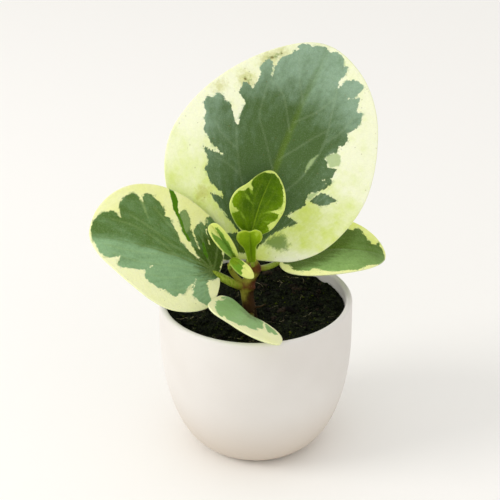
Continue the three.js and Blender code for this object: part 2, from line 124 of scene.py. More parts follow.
LEAVES = {
    "leaf_back": {
        "rib": [(-1.5, 1, 83.5), (3.5, 8, 112), (17, 21, 140), (31, 27, 165)],
        "across": (0.93, -0.12, -0.34),
        "fold": (8, 8),
        "curl": (-2, -2),
        "base": (0, -0.6),
        "tip": (0, 91.9),
        "left": [(-6, -1.2), (-11.2, -2.3), (-18.4, 1.4), (-30, 8), (-39, 18), (-44, 29), (-44.8, 39),
                 (-41.8, 50), (-36, 61.5), (-27.5, 73), (-17.5, 83), (-8, 89.6)],
        "right": [(7, 0.2), (17, 2), (27.5, 9.2), (35, 22), (38.8, 38), (37, 56), (30, 74), (20, 85.3),
                  (9, 90.8)],
        "stalk": [(-1, -4.7, 82), (-2.2, -1.6, 81.4), (-2.3, 1.2, 83.2)],
        "stalk_radius": 1.5,
        "stalk_end": 16,
        "net": (170, 64),
    },
    "leaf_left": {
        "rib": [(-17, -8.9, 82.9), (-30, -9.9, 90.4), (-48, -12.9, 99.4), (-63.8, -13.9, 101.2)],
        "across": (0.1, 0.74, 0.67),
        "across_tip": (0.1, 0.74, 0.6),
        "fold": (8, 8),
        "curl": (5, 7),
        "base": (0, -3),
        "tip": (0, 52.3),
        "left": [(-4, -4.2), (-11, -4), (-18, -1.2), (-23.5, 6.5), (-26.2, 16), (-24.6, 24.5), (-20, 33),
                 (-14, 41.5), (-7.5, 48.6)],
        "right": [(5, -2.6), (12, -0.5), (18, 4.5), (21.8, 12.5), (24.5, 22), (25.2, 31), (22.8, 39.8),
                  (17, 46.6), (8.5, 51.3)],
        "stalk": [(-3.2, -7.3, 74.4), (-8, -8.8, 76.8), (-13, -9.2, 79.9)],
        "stalk_radius": 1.7,
        "stalk_end": 12,
        "net": (120, 54),
    },
    "leaf_right": {
        "rib": [(10.4, 9, 78.7), (22, 11, 82.5), (40, 14.5, 83), (54.2, 16, 76.3)],
        "across": (0, -0.98, -0.2),
        "fold": (4, 4),
        "curl": (-2, -2),
        "base": (0, -0.5),
        "tip": (0, 46.3),
        "left": [(-5, 0.2), (-12, 5), (-18, 13.5), (-20.4, 24), (-18.6, 34), (-12.5, 41.5), (-5.5, 45.5)],
        "right": [(5, -1.2), (11, 1), (15.6, 7), (17.4, 16), (16.2, 26.5), (12, 36.6), (6, 43.5)],
        "stalk": [(-0.4, -4.9, 81.8), (2.4, -1.2, 80.1), (6.2, 3.6, 78.6)],
        "stalk_radius": 1.25,
        "stalk_end": 11,
        "net": (100, 44),
    },
    "leaf_front": {
        "rib": [(-2.4, -23.5, 70.2), (-4.3, -33.5, 73.4), (-6.2, -43, 77.2), (-8, -51.5, 81)],
        "across": (-0.84, 0.16, 0.51),
        "fold": (1, 3),
        "curl": (9, -5),
        "base": (0, -1.6),
        "tip": (0, 29.5),
        "left": [(-4.5, -2.8), (-8.5, -1.8), (-12.6, 2), (-15.6, 8), (-17.2, 17), (-16.8, 25), (-11, 28.8)],
        "right": [(5, -4), (10, -6.5), (13.8, -3), (15.3, 5), (15.2, 15), (14, 24), (9.4, 30.6)],
        "stalk": [(-1.7, -9.7, 64), (-1.9, -14.5, 64.6), (-2.2, -19.4, 67.1)],
        "stalk_radius": 1.2,
        "stalk_end": 9,
        "net": (84, 44),
    },
    "leaf_young": {
        "rib": [(-1.6, -4, 95), (-1, -3.5, 101), (2.5, -1.5, 112), (7.8, 3, 121)],
        "across": (1, -0.05, -0.2),
        "across_tip": (1, -0.05, -0.3),
        "fold": (12, 12),
        "curl": (3, 3),
        "base": (0, 0.4),
        "tip": (0, 29),
        "left": [(-3.4, 2.1), (-8.5, 6.2), (-12.2, 11.6), (-11.6, 16.6), (-8, 21), (-5.6, 25.2),
                 (-2.6, 28.2)],
        "right": [(3.4, 2), (7.2, 5.4), (9.5, 11.3), (10.1, 17), (8, 22.8), (4.2, 27)],
        "stalk": [(-1.1, -4.5, 85.4), (-1.6, -4.1, 89.2), (-1.8, -3.7, 93)],
        "stalk_radius": 0.85,
        "stalk_end": 8,
        "net": (84, 36),
    },
    "leaf_bud": {
        "rib": [(-1.3, -7, 85.8), (-1.7, -7.7, 91.2), (-1.9, -8, 97.2), (-2.1, -10, 101.8)],
        "across": (1, 0, 0),
        "fold": (14, 14),
        "curl": (4, 4),
        "base": (0, 0),
        "tip": (0, 15.5),
        "left": [(-1.7, 0.5), (-2.3, 4), (-3, 7.4), (-4.8, 10.3), (-5.8, 13.4), (-4.7, 16.3), (-1.9, 16.8)],
        "right": [(1.7, 0.5), (2.1, 4.4), (2.6, 8.4), (4.5, 10.9), (5.2, 13.6), (4.4, 16.4), (1.9, 16.9)],
        "stalk": [(-0.8, -5, 82.4), (-1, -6.5, 84.2)],
        "stalk_radius": 0.8,
        "stalk_end": 7,
        "net": (48, 18),
    },
    "shoot_leaf_upper": {
        "rib": [(-7.7, -12.6, 89.8), (-9.8, -13.2, 94.5), (-13.2, -13.2, 100.5), (-17, -12.2, 105)],
        "across": (0.8, 0.2, 0.5),
        "fold": (38, 38),
        "curl": (0, 0),
        "base": (0, 0),
        "tip": (0, 18.7),
        "left": [(-1.1, 0.8), (-2.2, 3.8), (-3.7, 8.2), (-4.1, 13), (-3.4, 16.8), (-1.9, 18.6)],
        "right": [(1.8, 0.8), (3, 4.4), (3.6, 8.4), (3.7, 12.4), (3.4, 15.8), (2.2, 18)],
        "stalk": [(-9.8, -10.2, 85.8), (-8.7, -11, 87.9)],
        "stalk_radius": 0.62,
        "stalk_end": 5,
        "net": (44, 16),
    },
    "shoot_leaf_lower": {
        "rib": [(-8.6, -15.9, 91.4), (-6.8, -17.7, 91.6), (-3.6, -19.3, 89.3), (-0.6, -20.8, 85.7)],
        "across": (-0.6, -0.6, -0.5),
        "fold": (5, 5),
        "curl": (-5, -5),
        "base": (0, -1.6),
        "tip": (0, 11.2),
        "left": [(-1.3, -0.9), (-1.6, 1), (-1.9, 4.2), (-2, 7), (-1.2, 9.9)],
        "right": [(1.6, -1.1), (2.9, 0.8), (3.7, 3.9), (3.5, 7.2), (1.8, 10.3)],
        "stalk": [(-9.8, -9.9, 84.4), (-10.4, -12.9, 86.2), (-9.7, -15.3, 89.3)],
        "stalk_radius": 0.62,
        "stalk_end": 4,
        "net": (36, 14),
    },
}

# What is drawn on each blade, in its own (p, q):
#   green        lobes whose corners point out along the veins
#   pale         patches where only one layer of cells is green
#   deep         patches of a strong dark green
#   smudges      grey-green patches with no sharp edge
#   slits        cream lines between lobes, each with its width at either end
#   veins        pale lines
#   spots        small brown blemishes, each with its radius, in a wide yellowish stain
#   heart_and_shadow_along  the line that the dark colour near the base spreads from, instead of the base; on
#   leaf_right it runs along the edge of leaf_back, and the dark colour there is a painted shadow
#   tone_and_painted_light  from dark (0) to glaucous (1) green, partly painted sheen and painted shade on
#   leaf_back, leaf_left and leaf_right
#   milk         from lime (0) to milky (1) cream
# Tone and milk have the value "start", which changes by "half" from the left half of the blade to
# the right, within "spread" of the midrib, by "rise" towards the tip between two shares of the
# length, by "side" towards the margins, and by "foot" at the base on the right, where it makes
# the cream of leaf_back milkier as painted light against the shade there.

ZONES = {
    "leaf_back": {
        "green": [
            [(-12.2, 82), (-12.3, 83.5), (-10.4, 85.1), (-11.8, 85.6), (-10.5, 87.9), (-8, 88.8),
             (-6.8, 88.3), (-4, 90), (-1.8, 90.5), (1, 89.8), (3.1, 90.9), (6.3, 90.9), (7.7, 89.5),
             (8.3, 87.5), (10.4, 88.2), (10.4, 86), (9.8, 82.4), (10.3, 77), (11.1, 80.9), (12.7, 83.1),
             (14.3, 84.3), (16.7, 84.9), (19.1, 84.1), (19.7, 82.5), (18.6, 79.2), (20.1, 79.4),
             (20.3, 76.4), (21.1, 72.8), (23.7, 73.8), (24.4, 71.4), (24.1, 66.7), (21.4, 62.5),
             (23.2, 60.5), (22.6, 58.5), (20.3, 55.4), (20.7, 53.4), (18.6, 52), (16.8, 49.5), (18.8, 48.2),
             (19.4, 46.4), (23.1, 47), (23, 44.7), (22.6, 42.7), (19.4, 40.4), (22.3, 41.9), (23.7, 41.1),
             (23.4, 39.5), (21, 36.2), (16.4, 33), (15.7, 30.6), (16.1, 27.6), (12.1, 23.3), (9.8, 21),
             (13.2, 20.4), (15, 19.5), (14.1, 18.3), (10.8, 16), (6.6, 12.4), (1, 4), (-1.9, 1.9),
             (-6.2, 1.8), (-9, -2.3), (-12.8, -1.8), (-12.4, 4), (-12, 8.6), (-7.2, 9.5), (-11.8, 13.6),
             (-13.7, 15.2), (-16.1, 16.8), (-18.7, 18.7), (-22.6, 22), (-19.5, 21.8), (-17, 21.4),
             (-16, 21.8), (-17.9, 23.2), (-20.5, 24.1), (-22.5, 25.2), (-24.8, 26.8), (-25.7, 28.5),
             (-27.1, 29.5), (-27, 33.2), (-28.7, 35), (-30.6, 37.3), (-25.4, 37), (-21.9, 36.9),
             (-25.1, 38.2), (-29, 39.8), (-32.7, 43.4), (-32.7, 45.4), (-34.1, 46.8), (-33.9, 49),
             (-36.7, 51.8), (-36.9, 54.9), (-34.1, 54.9), (-33.7, 56.6), (-32.5, 57.5), (-30.9, 57.3),
             (-28.2, 55.5), (-26.4, 55.7), (-22.8, 50.5), (-20.7, 47.8), (-20.8, 50.5), (-21.3, 57.8),
             (-25.1, 60.6), (-25.3, 62.8), (-25.2, 65.2), (-23.2, 65), (-20.6, 64.3), (-20.1, 68.8),
             (-20.4, 70.7), (-21.8, 72.1), (-21.4, 74.6), (-20, 76.7), (-18.3, 76.8), (-17, 75.4),
             (-15.9, 71), (-16.3, 75), (-15.4, 79.7), (-13.1, 81.6)],
            [(17.3, 30), (18.9, 32.6), (20.9, 34.7), (23.9, 35.3), (27.7, 33.9), (26, 32.3), (24.7, 30.8),
             (22.4, 29.7), (19.6, 29.7)],
        ],
        "pale": [
            [(16.8, 49.5), (18.6, 52), (20.7, 53.6), (22.9, 53), (24, 49), (20.7, 46.4), (18.6, 48.3)],
            [(11.8, 40.6), (11.3, 43.8), (11.7, 46.3), (14.8, 50.9), (13.8, 47.7), (13.1, 44.1)],
            [(15.8, 30.5), (16.4, 33), (20, 35.4), (18.8, 33.1), (17.5, 30.6)],
        ],
        "smudges": [
            [(4.1, 6.9), (4.4, 9.5), (7.2, 12.1), (10.7, 13), (13.1, 11.3), (14.2, 9.3), (13.9, 6.5),
             (10.2, 5.6), (6.4, 6.1)],
            [(-26, 66), (-24.4, 67), (-22.6, 66.2), (-24, 65.4)],
            [(-20.4, 77.2), (-18.4, 79), (-16.2, 80.6), (-16.8, 78.4), (-18.4, 77)],
        ],
        "slits": [
            ([(26, 37), (19, 40.6)], 0.5, 0.1),
            ([(15.8, 76.2), (17.8, 77.5), (20.2, 79.8)], 0.15, 0.5),
        ],
        "veins": [
            [(0, 20), (6.7, 30.7), (9.6, 35.4), (12.1, 41.4), (14.5, 50.9), (14.5, 58), (13, 66),
             (10.5, 77)],
            [(3, 8), (12, 18), (19, 29), (21, 40)],
            [(0, 42), (6, 50), (11, 57), (14.2, 61)],
            [(0, 58), (7, 66), (11, 74)],
            [(14, 54), (19, 62), (21, 70)],
            [(0, 14), (-7, 23), (-12.7, 31.4), (-15.5, 36.8), (-18.7, 43.1), (-20.7, 47.8)],
            [(-12.7, 31.4), (-18, 33.8), (-24.8, 35.3)],
            [(-18.7, 40.9), (-25, 43.9), (-29.6, 47.3)],
            [(0, 36), (-10.3, 50.7), (-13.4, 54.2), (-14.8, 58.9), (-16, 68)],
            [(0, 54), (-8.2, 66.1), (-11.8, 68.4), (-15.7, 69.8)],
            [(0, 67), (-6, 76), (-10, 84)],
        ],
        "spots": [(-25, 66, 0.6), (-23, 65, 0.3), (-19, 77.5, 0.6), (-20.6, 75.4, 0.3), (-16.4, 80.6, 0.3),
                  (-33, 59.5, 0), (-25.2, 21.2, 0.2)],
        # painted sheen: glaucous towards the tip and the margins, where the curved blade catches the light
        "tone_and_painted_light": {"start": 0, "half": 0.02, "rise": (0.74, 0.58, 0.92), "side": 4},
        # painted light: the cream is milkier near the base on the right, against the shade there
        "milk": {"start": 0.3, "rise": (0.5, 0.22, 0.6), "side": 1.1, "foot": 0.7},
    },
    "leaf_left": {
        "green": [
            [(-0.6, 51.1), (3.1, 51.8), (6.2, 51.5), (8.8, 49.6), (10, 47.5), (11.1, 45.1), (11, 43),
             (9.1, 41.2), (11.8, 42.4), (14, 42.5), (16.3, 41.9), (18.3, 40.8), (19.7, 38.6), (19.3, 37),
             (18.4, 36), (16.8, 34.4), (19.2, 35.1), (20.2, 34.3), (20.9, 32.8), (20.5, 30.9), (18.3, 27.7),
             (16.5, 26.2), (14.1, 25.2), (14.1, 23.2), (11.9, 22), (10.4, 20.1), (8.4, 18.3), (6, 16.6),
             (4.5, 13.9), (2.9, 10.3), (1.7, 6.4), (4.1, 9.4), (6.2, 11.8), (8.5, 13.4), (9.2, 16.1),
             (11.8, 18.1), (14.6, 19.5), (17.4, 20.2), (18.9, 19.3), (18.8, 17.9), (15.3, 15.2),
             (12.3, 14.5), (10.1, 12.6), (12.9, 13), (15.3, 12.9), (16.7, 11.3), (15.6, 9.5), (18.7, 10.1),
             (20.4, 9.1), (20.3, 7.2), (18.5, 5.9), (17.6, 2.9), (14, 0.9), (8.2, -0.7), (6.4, -2.1),
             (3.1, -2), (-0.1, -3), (-2.9, -2.2), (-4.4, -0.7), (-5, 1), (-6.9, 1.5), (-9.5, 0.2),
             (-11.8, -1.2), (-14.2, -2.4), (-16.8, -1.2), (-17.2, 0.7), (-16.6, 3.8), (-15.3, 6.3),
             (-11.8, 7.4), (-9.1, 7.3), (-11.2, 8.5), (-13.8, 9.7), (-16.6, 10.4), (-17, 12.6),
             (-19.3, 14.1), (-19.3, 15.7), (-17.9, 18.2), (-17.6, 20.6), (-17.7, 22.7), (-16.6, 24.3),
             (-16.4, 26.5), (-14.5, 28.4), (-11.3, 28.2), (-9, 26.7), (-7.9, 25.2), (-9.5, 26.4),
             (-11.6, 29.5), (-12.1, 32.9), (-12.3, 35.8), (-12.6, 38.5), (-11.5, 39.9), (-9.7, 39.7),
             (-6.8, 39.3), (-8, 40.2), (-9.1, 42.9), (-8.8, 45.5), (-7.7, 47.3), (-5.8, 48.6), (-3.2, 50)],
        ],
        "pale": [
            [(9.2, 15.8), (11.8, 18.1), (14.6, 19.5), (17.4, 20.2), (18.9, 19.3), (18.8, 17.9),
             (15.3, 15.2), (12.3, 14.5)],
            [(18, 35.8), (13.6, 33.2), (9.6, 30), (13, 31.8), (17.6, 34.4)],
        ],
        "deep": [
            [(25.3, 26.9), (26.1, 25.8), (24.5, 24.5), (21.9, 22.4), (18.9, 21.6), (17.1, 20.8),
             (14.2, 18.4), (10.8, 16.2), (9.1, 14), (7.5, 12.8), (7.3, 13.8), (9.9, 16.5), (12.9, 18.7),
             (15.7, 21.1), (17.6, 23), (21.1, 24.6)],
            [(8.7, 8.3), (9.5, 7.8), (7.2, 6.1), (4.6, 4.1), (3.7, 4.1), (5, 6.2)],
        ],
        "slits": [
            ([(17.9, 15.8), (11.2, 12.8), (6.1, 8.6)], 1.1, 0.2),
            ([(18.5, 9.5), (13.9, 8.1), (9.5, 5.4)], 0.5, 0.2),
            ([(-17, 6.8), (-12, 7), (-7, 6.4)], 0.5, 0.2),
        ],
        "veins": [
            [(0, 0), (1.6, 10), (4, 20), (8, 30), (11, 38)],
            [(0, 0), (4, 10), (10, 21), (16, 30)],
            [(0, 0), (5, 5), (11, 9), (16, 11)],
            [(0, 0), (6, 1), (12, 3), (17, 7)],
            [(0, 0), (-3, 10), (-6, 20), (-8, 32), (-7, 42)],
            [(0, 0), (-7, 10), (-12, 20), (-13, 30)],
            [(0, 0), (-8, 5), (-14, 10), (-17, 17)],
            [(0, 0), (-6, 1), (-13, 1.5)],
            [(0, 16), (4, 26), (7, 36), (8, 44)],
            [(0, 18), (-3, 28), (-4, 38), (-3, 46)],
        ],
        "heart_and_shadow_along": [(3, 0), (8, 1)],
        # painted sheen and shade: one half of the blade glaucous with sheen, the other half darker in shade
        "tone_and_painted_light": {"start": 0.78, "half": -0.62, "rise": (0, 0.5, 0.9), "side": 0.3},
        "milk": {"start": 0.8, "half": -0.45, "rise": (0.2, 0.5, 1)},
    },
    "leaf_right": {
        "green": [
            [(-15, 29), (-12.4, 31.4), (-12.1, 32.9), (-13.7, 34.1), (-14.2, 35.7), (-13, 36.9),
             (-10.8, 36.8), (-9.1, 38.2), (-7.1, 38.3), (-7.1, 39.6), (-5.2, 40), (-5.4, 41.7),
             (-7.5, 43.5), (-5.1, 43.6), (-4.4, 44.7), (-2.2, 45.1), (3.6, 45.6), (5.9, 45), (7.9, 42.9),
             (8, 41), (9.8, 37.7), (11.8, 33.8), (14, 31), (14.7, 28.5), (15.7, 22.6), (15.4, 18.2),
             (14.3, 14), (13, 13.3), (12.5, 11.2), (13.4, 9.4), (12.2, 5.9), (10.6, 3.5), (6.7, 2.8),
             (3.8, 0.6), (-4, 3.5), (-10, 8), (-14, 15), (-15.6, 23)],
        ],
        "veins": [
            [(0, 0), (6, 8), (10, 18), (11, 28), (8, 38)],
            [(0, 6), (4, 16), (6, 28), (5, 38)],
            [(0, 0), (-7, 8), (-11, 18), (-12, 28)],
            [(0, 8), (-5, 20), (-7, 32)],
            [(0, 24), (-3, 34), (-3, 41)],
        ],
        # painted shadow: the dark colour spreads along the edge of leaf_back, which lies over this blade
        "heart_and_shadow_along": [(-19, 33), (-10.5, 28.9), (-2.2, 21.9), (4.6, 12.7), (6, 4)],
        # painted shade: darker over the far half, lighter towards the near margin
        "tone_and_painted_light": {"start": 0.24, "half": 0.4, "spread": 11, "rise": (-0.1, 0.6, 1), "side": 1.2},
        "milk": {"start": 0.3, "half": 0.5, "rise": (0.15, 0.6, 1)},
    },
    "leaf_front": {
        "green": [
            [(12.2, -5.4), (13.5, -0.7), (13.3, 3), (12.4, 2.4), (11.9, -1.1), (11.9, 3.6), (12.5, 6.7),
             (13.4, 7.4), (13.5, 11.7), (12.7, 14.2), (12.3, 18.4), (10.9, 23.2), (9.6, 26.9), (8.1, 29.5),
             (6.7, 30), (6.3, 27.1), (5.5, 26.9), (4.6, 28.6), (2.5, 27.4), (0.9, 25), (-0.2, 25.8),
             (-1.1, 22), (-1.9, 20), (-3.9, 19.4), (-5.1, 17.6), (-6, 15.9), (-5.8, 12.9), (-7.2, 11.3),
             (-7.5, 8.4), (-6.2, 3.2), (-6.1, -0.3), (-5.1, -1.7), (-3.5, -2.6), (-2.1, -2.6), (-0.4, -1.1),
             (0.5, -1.3), (1.7, -2.5), (3.6, -4.2), (5.8, -5), (8, -6), (10, -6.3)],
            [(-6.8, 0.8), (-8.3, 6.3), (-9.5, 9.7), (-10.5, 11.7), (-11.1, 11.5), (-11.1, 8.2),
             (-12.6, 11.3), (-13.6, 11), (-13.2, 6.8), (-12, 4.3), (-10.3, 1.8), (-8.4, 0.2), (-6.8, -1.8)],
        ],
        "veins": [
            [(0, 0), (5, 7), (8, 15), (9, 24)],
            [(0, 0), (6, 1), (10, 4)],
            [(0, 0), (-4, 7), (-6, 15)],
            [(0, 6), (3, 16), (4, 25)],
            [(0, 0), (-6, 1), (-11, 5)],
        ],
        "tone_and_painted_light": {"start": 0.4, "half": 0.1, "rise": (0.1, 0.2, 0.7), "side": 0.2},
        "milk": {"start": 0.75, "half": 0.1, "rise": (0, 0, 1), "side": 0.5},
    },
    "leaf_young": {
        "green": [
            [(-7.5, 23.5), (-6.7, 22.1), (-6.5, 20.9), (-5.4, 19.8), (-5.2, 18.8), (-7.1, 19.4),
             (-7.9, 18.7), (-8.3, 17.8), (-9.9, 17.2), (-10.7, 16.7), (-11.8, 14.1), (-11.4, 12.8),
             (-10.7, 11.6), (-9.3, 11.1), (-7.8, 10.2), (-9.1, 9.3), (-10.3, 8.8), (-10.3, 7.8),
             (-9.6, 6.6), (-8.1, 5.4), (-5.8, 4.1), (1, 0.8), (5.3, 2.2), (6.9, 4.6), (6.4, 6.5),
             (5.8, 7.4), (6.2, 9), (7.7, 10.3), (8.5, 12.1), (8.5, 13.5), (7.6, 13.5), (5.2, 13.6),
             (7.4, 15.2), (8.6, 17.1), (8.6, 19.3), (7.4, 22.6), (5.5, 25.1), (2.9, 27.2), (0.5, 28.2),
             (-3.7, 26.9), (-6.2, 25.3)],
        ],
        "pale": [
            [(7.6, 14.4), (4.8, 12.6), (2.4, 11.6), (4, 13.6)],
            [(7.1, 10.3), (5.6, 8.4), (3, 8.6)],
            [(-8.6, 17.6), (-6.1, 16.6), (-2.5, 13.8), (-6.4, 15.4)],
            [(-7.1, 19.6), (-5.2, 19.1), (-4.2, 17.4), (-6, 18)],
            [(-8, 10.8), (-5, 8.9), (-3.3, 7.2), (-5.5, 8.2)],
        ],
        "veins": [
            [(0, 2), (1.3, 7.6), (2.5, 14.4), (3.2, 17.9), (4, 22)],
            [(0, 2), (5, 5), (8, 10)],
            [(0, 2), (-5, 8), (-8, 14)],
            [(0, 6), (-3, 15), (-3, 24)],
            [(1.3, 7.6), (6, 13.4)],
        ],
        "tone_and_painted_light": {"start": 0.3, "half": 0.1, "spread": 4, "rise": (-0.2, 0.1, 0.6), "side": 3.4},
        "milk": {"start": 0.55, "half": 0.1, "rise": (0.1, 0.3, 0.8)},
    },
    "leaf_bud": {
        "green": [
            [(-1.5, 0), (-2, 4), (-2.6, 7.6), (-4.4, 10.6), (-5.2, 13.4), (-4.2, 15.7), (-1.8, 16.2),
             (0, 15), (1.8, 16.2), (4, 15.8), (4.7, 13.6), (4.1, 11.2), (2.3, 8.6), (1.8, 4), (1.5, 0)],
        ],
        "pale": [
            [(2, 15.4), (3.6, 16.6), (4, 15), (2.6, 12.6)],
            [(-5.2, 12.8), (-5.8, 14.6), (-4.6, 16), (-4.4, 14)],
        ],
        "veins": [
            [(-0.7, 4), (-0.4, 9.6), (0.1, 14)],
            [(-1, 4), (-3, 12)],
            [(1, 4), (3, 12)],
        ],
        "tone_and_painted_light": {"start": 0.05, "half": 0.1, "rise": (0.5, 0.4, 1), "side": 3},
        "milk": {"start": 0.3, "rise": (0.2, 0.3, 1)},
    },
    "shoot_leaf_upper": {
        "green": [
            [(-1, 0.4), (-3.2, 5), (-3.5, 9.5), (-3.6, 12.8), (-3.3, 15.3), (-2.6, 16), (-1.7, 13.6),
             (-0.8, 10.7), (0, 13.6), (0.7, 16.4), (2, 16.1), (2.2, 13.6), (1.9, 11), (1.6, 7.8), (1.3, 4),
             (0.9, 0.6)],
        ],
        "veins": [
            [(0, 1), (-2.4, 7), (-2.6, 13)],
        ],
        "tone_and_painted_light": {"start": 0.6, "half": -0.2, "rise": (0.2, 0.3, 1)},
        "milk": {"start": 0.8, "half": -0.5, "rise": (0.3, 0.5, 1)},
    },
    "shoot_leaf_lower": {
        "green": [
            [(-1.5, -1.6), (-1.9, 1), (-1.5, 2.9), (-1.3, 4.8), (0.4, 4.4), (0.5, 5.7), (1.9, 5.5),
             (2.6, 6.9), (4, 6.4), (4.4, 4.4), (3.8, 1.3), (1.8, -1.8)],
        ],
        "veins": [
            [(0, 0), (2, 3), (2.6, 6)],
        ],
        "tone_and_painted_light": {"start": 0.5, "half": 0.1, "rise": (0.2, 0.3, 1)},
        "milk": {"start": 0.6, "rise": (0.4, 0.4, 0.9)},
    },
}

FAR = 30.0  # the distance to what a blade doesn't have
OFF_BLADE = 5.0  # what the petiole has in place of each of the blade's numbers

# ------------------------------------------------------------------ curves and surfaces


def smooth_curve(points, per_span, closed=False):
    """Points along a centripetal Catmull-Rom curve through the given ones."""
    points = np.array(points, float)
    if closed:
        line = np.vstack([points[-1:], points, points[:2]])
    else:
        line = np.vstack([2 * points[:1] - points[1:2], points, 2 * points[-1:] - points[-2:-1]])
    knots = np.concatenate([[0], np.cumsum(np.linalg.norm(np.diff(line, axis=0), axis=1) ** 0.5)])
    samples = []
    for i in range(1, len(line) - 2):
        t0, t1, t2, t3 = knots[i - 1:i + 3]
        p0, p1, p2, p3 = line[i - 1:i + 3]
        for t in np.linspace(t1, t2, per_span, endpoint=False):
            a1 = (t1 - t) / (t1 - t0) * p0 + (t - t0) / (t1 - t0) * p1
            a2 = (t2 - t) / (t2 - t1) * p1 + (t - t1) / (t2 - t1) * p2
            a3 = (t3 - t) / (t3 - t2) * p2 + (t - t2) / (t3 - t2) * p3
            b1 = (t2 - t) / (t2 - t0) * a1 + (t - t0) / (t2 - t0) * a2
            b2 = (t3 - t) / (t3 - t1) * a2 + (t - t1) / (t3 - t1) * a3
            samples.append((t2 - t) / (t2 - t1) * b1 + (t - t1) / (t2 - t1) * b2)
    if not closed:
        samples.append(points[-1])
    return np.array(samples)


def evenly(samples, count):
    """count + 1 points at equal distances along a polyline."""
    lengths = np.concatenate([[0], np.cumsum(np.linalg.norm(np.diff(samples, axis=0), axis=1))])
    wanted = np.linspace(0, lengths[-1], count + 1)
    return np.stack([np.interp(wanted, lengths, samples[:, k]) for k in range(samples.shape[1])], -1)


def unit(vectors):
    return vectors / np.linalg.norm(vectors, axis=-1, keepdims=True)


def smoothstep(low, high, value):
    t = np.clip((value - low) / (high - low), 0, 1)
    return t * t * (3 - 2 * t)


def bezier(points, t):
    p0, p1, p2, p3 = np.array(points, float)
    t = np.asarray(t)[..., None]
    place = (1 - t) ** 3 * p0 + 3 * (1 - t) ** 2 * t * p1 + 3 * (1 - t) * t * t * p2 + t ** 3 * p3
    along = 3 * (1 - t) ** 2 * (p1 - p0) + 6 * (1 - t) * t * (p2 - p1) + 3 * t * t * (p3 - p2)
    return place, unit(along)


def rib_length(leaf, steps=200):
    """Lengths along the midrib at equal steps of its parameter."""
    places, _ = bezier(leaf["rib"], np.linspace(0, 1, steps + 1))
    return np.concatenate([[0], np.cumsum(np.linalg.norm(np.diff(places, axis=0), axis=1))])


def bend(leaf, p, q, lift):
    """Places points of the flat blade in space, lifted off its middle surface."""
    lengths = rib_length(leaf)
    held = np.clip(q, 0, lengths[-1])
    place, along = bezier(leaf["rib"], np.interp(held, lengths, np.linspace(0, 1, len(lengths))))
    place = place + (q - held)[..., None] * along
    share = (held / lengths[-1])[..., None]
    across_tip = leaf.get("across_tip", leaf["across"])
    across = np.array(leaf["across"]) * (1 - share) + np.array(across_tip) * share
    across = unit(across - (across * along).sum(-1, keepdims=True) * along)
    up = np.cross(across, along)
    start = np.radians(np.where(p < 0, leaf["fold"][0], leaf["fold"][1]))
    rate = np.radians(np.where(p < 0, leaf["curl"][0], leaf["curl"][1])) / 10
    nearly_flat = 1e-6
    rate = np.where(np.abs(rate) < nearly_flat, nearly_flat, rate)
    end = start + rate * np.abs(p)
    outwards = (np.sin(end) - np.sin(start)) / rate
    rise = (np.cos(start) - np.cos(end)) / rate
    tilt = end * smoothstep(0, 1.5, np.abs(p))
    sideways = np.sign(p) * outwards - np.sign(p) * lift * np.sin(tilt)
    return place + across * sideways[..., None] + up * (rise + lift * np.cos(tilt))[..., None]


def ring_faces(rings, sides):
    """Faces round a stack of rings, closed by a single vertex before the first and after the last."""
    ring = lambda i, k: 1 + i * sides + k % sides
    faces = [(0, ring(0, k + 1), ring(0, k)) for k in range(sides)]
    for i in range(rings - 1):
        faces += [(ring(i, k), ring(i, k + 1), ring(i + 1, k + 1), ring(i + 1, k)) for k in range(sides)]
    last = 1 + rings * sides
    return faces + [(last, ring(rings - 1, k), ring(rings - 1, k + 1)) for k in range(sides)]


def tube(route, radius_at, sides, steps):
    """Vertices, faces and shares of length of a round rod with closed ends along a smooth route."""
    per_span = 16
    slanted = (0.31, 0.87, 0.39)  # a direction that no route starts in
    line = evenly(smooth_curve(route, per_span), steps)
    along = unit(np.gradient(line, axis=0))
    side = unit(np.cross(along[0], slanted))
    verts, share = [line[0]], [0.0]
    for i in range(steps + 1):
        side = unit(side - np.dot(side, along[i]) * along[i])
        other = np.cross(along[i], side)
        for turn in np.linspace(0, 2 * np.pi, sides, endpoint=False):
            verts.append(line[i] + radius_at(i / steps) * (np.cos(turn) * side + np.sin(turn) * other))
            share.append(i / steps)
    verts.append(line[-1])
    share.append(1.0)
    return np.array(verts), ring_faces(steps + 1, sides), np.array(share)


def together(parts):
    """The vertices and faces of several meshes as those of one."""
    verts, faces, total = [], [], 0
    for part, part_faces in parts:
        faces += [tuple(total + corner for corner in face) for face in part_faces]
        verts.append(part)
        total += len(part)
    return np.vstack(verts), faces


def outline_distance(outline, p, q):
    """Distance from each (p, q) to a closed outline, negative inside."""
    start, end = outline, np.roll(outline, -1, axis=0)
    result = np.empty(len(p))
    batch, tiny = 4000, 1e-12
    for first in range(0, len(p), batch):
        x, y = p[first:first + batch, None], q[first:first + batch, None]
        dx, dy = end[:, 0] - start[:, 0], end[:, 1] - start[:, 1]
        t = np.clip(((x - start[:, 0]) * dx + (y - start[:, 1]) * dy) / (dx * dx + dy * dy + tiny), 0, 1)
        distance = np.hypot(x - start[:, 0] - t * dx, y - start[:, 1] - t * dy).min(1)
        crosses = (start[:, 1] > y) != (end[:, 1] > y)
        reach = start[:, 0] + (y - start[:, 1]) * dx / np.where(dy == 0, tiny, dy)
        inside = (crosses & (x < reach)).sum(1) % 2 == 1
        result[first:first + batch] = np.where(inside, -distance, distance)
    return result


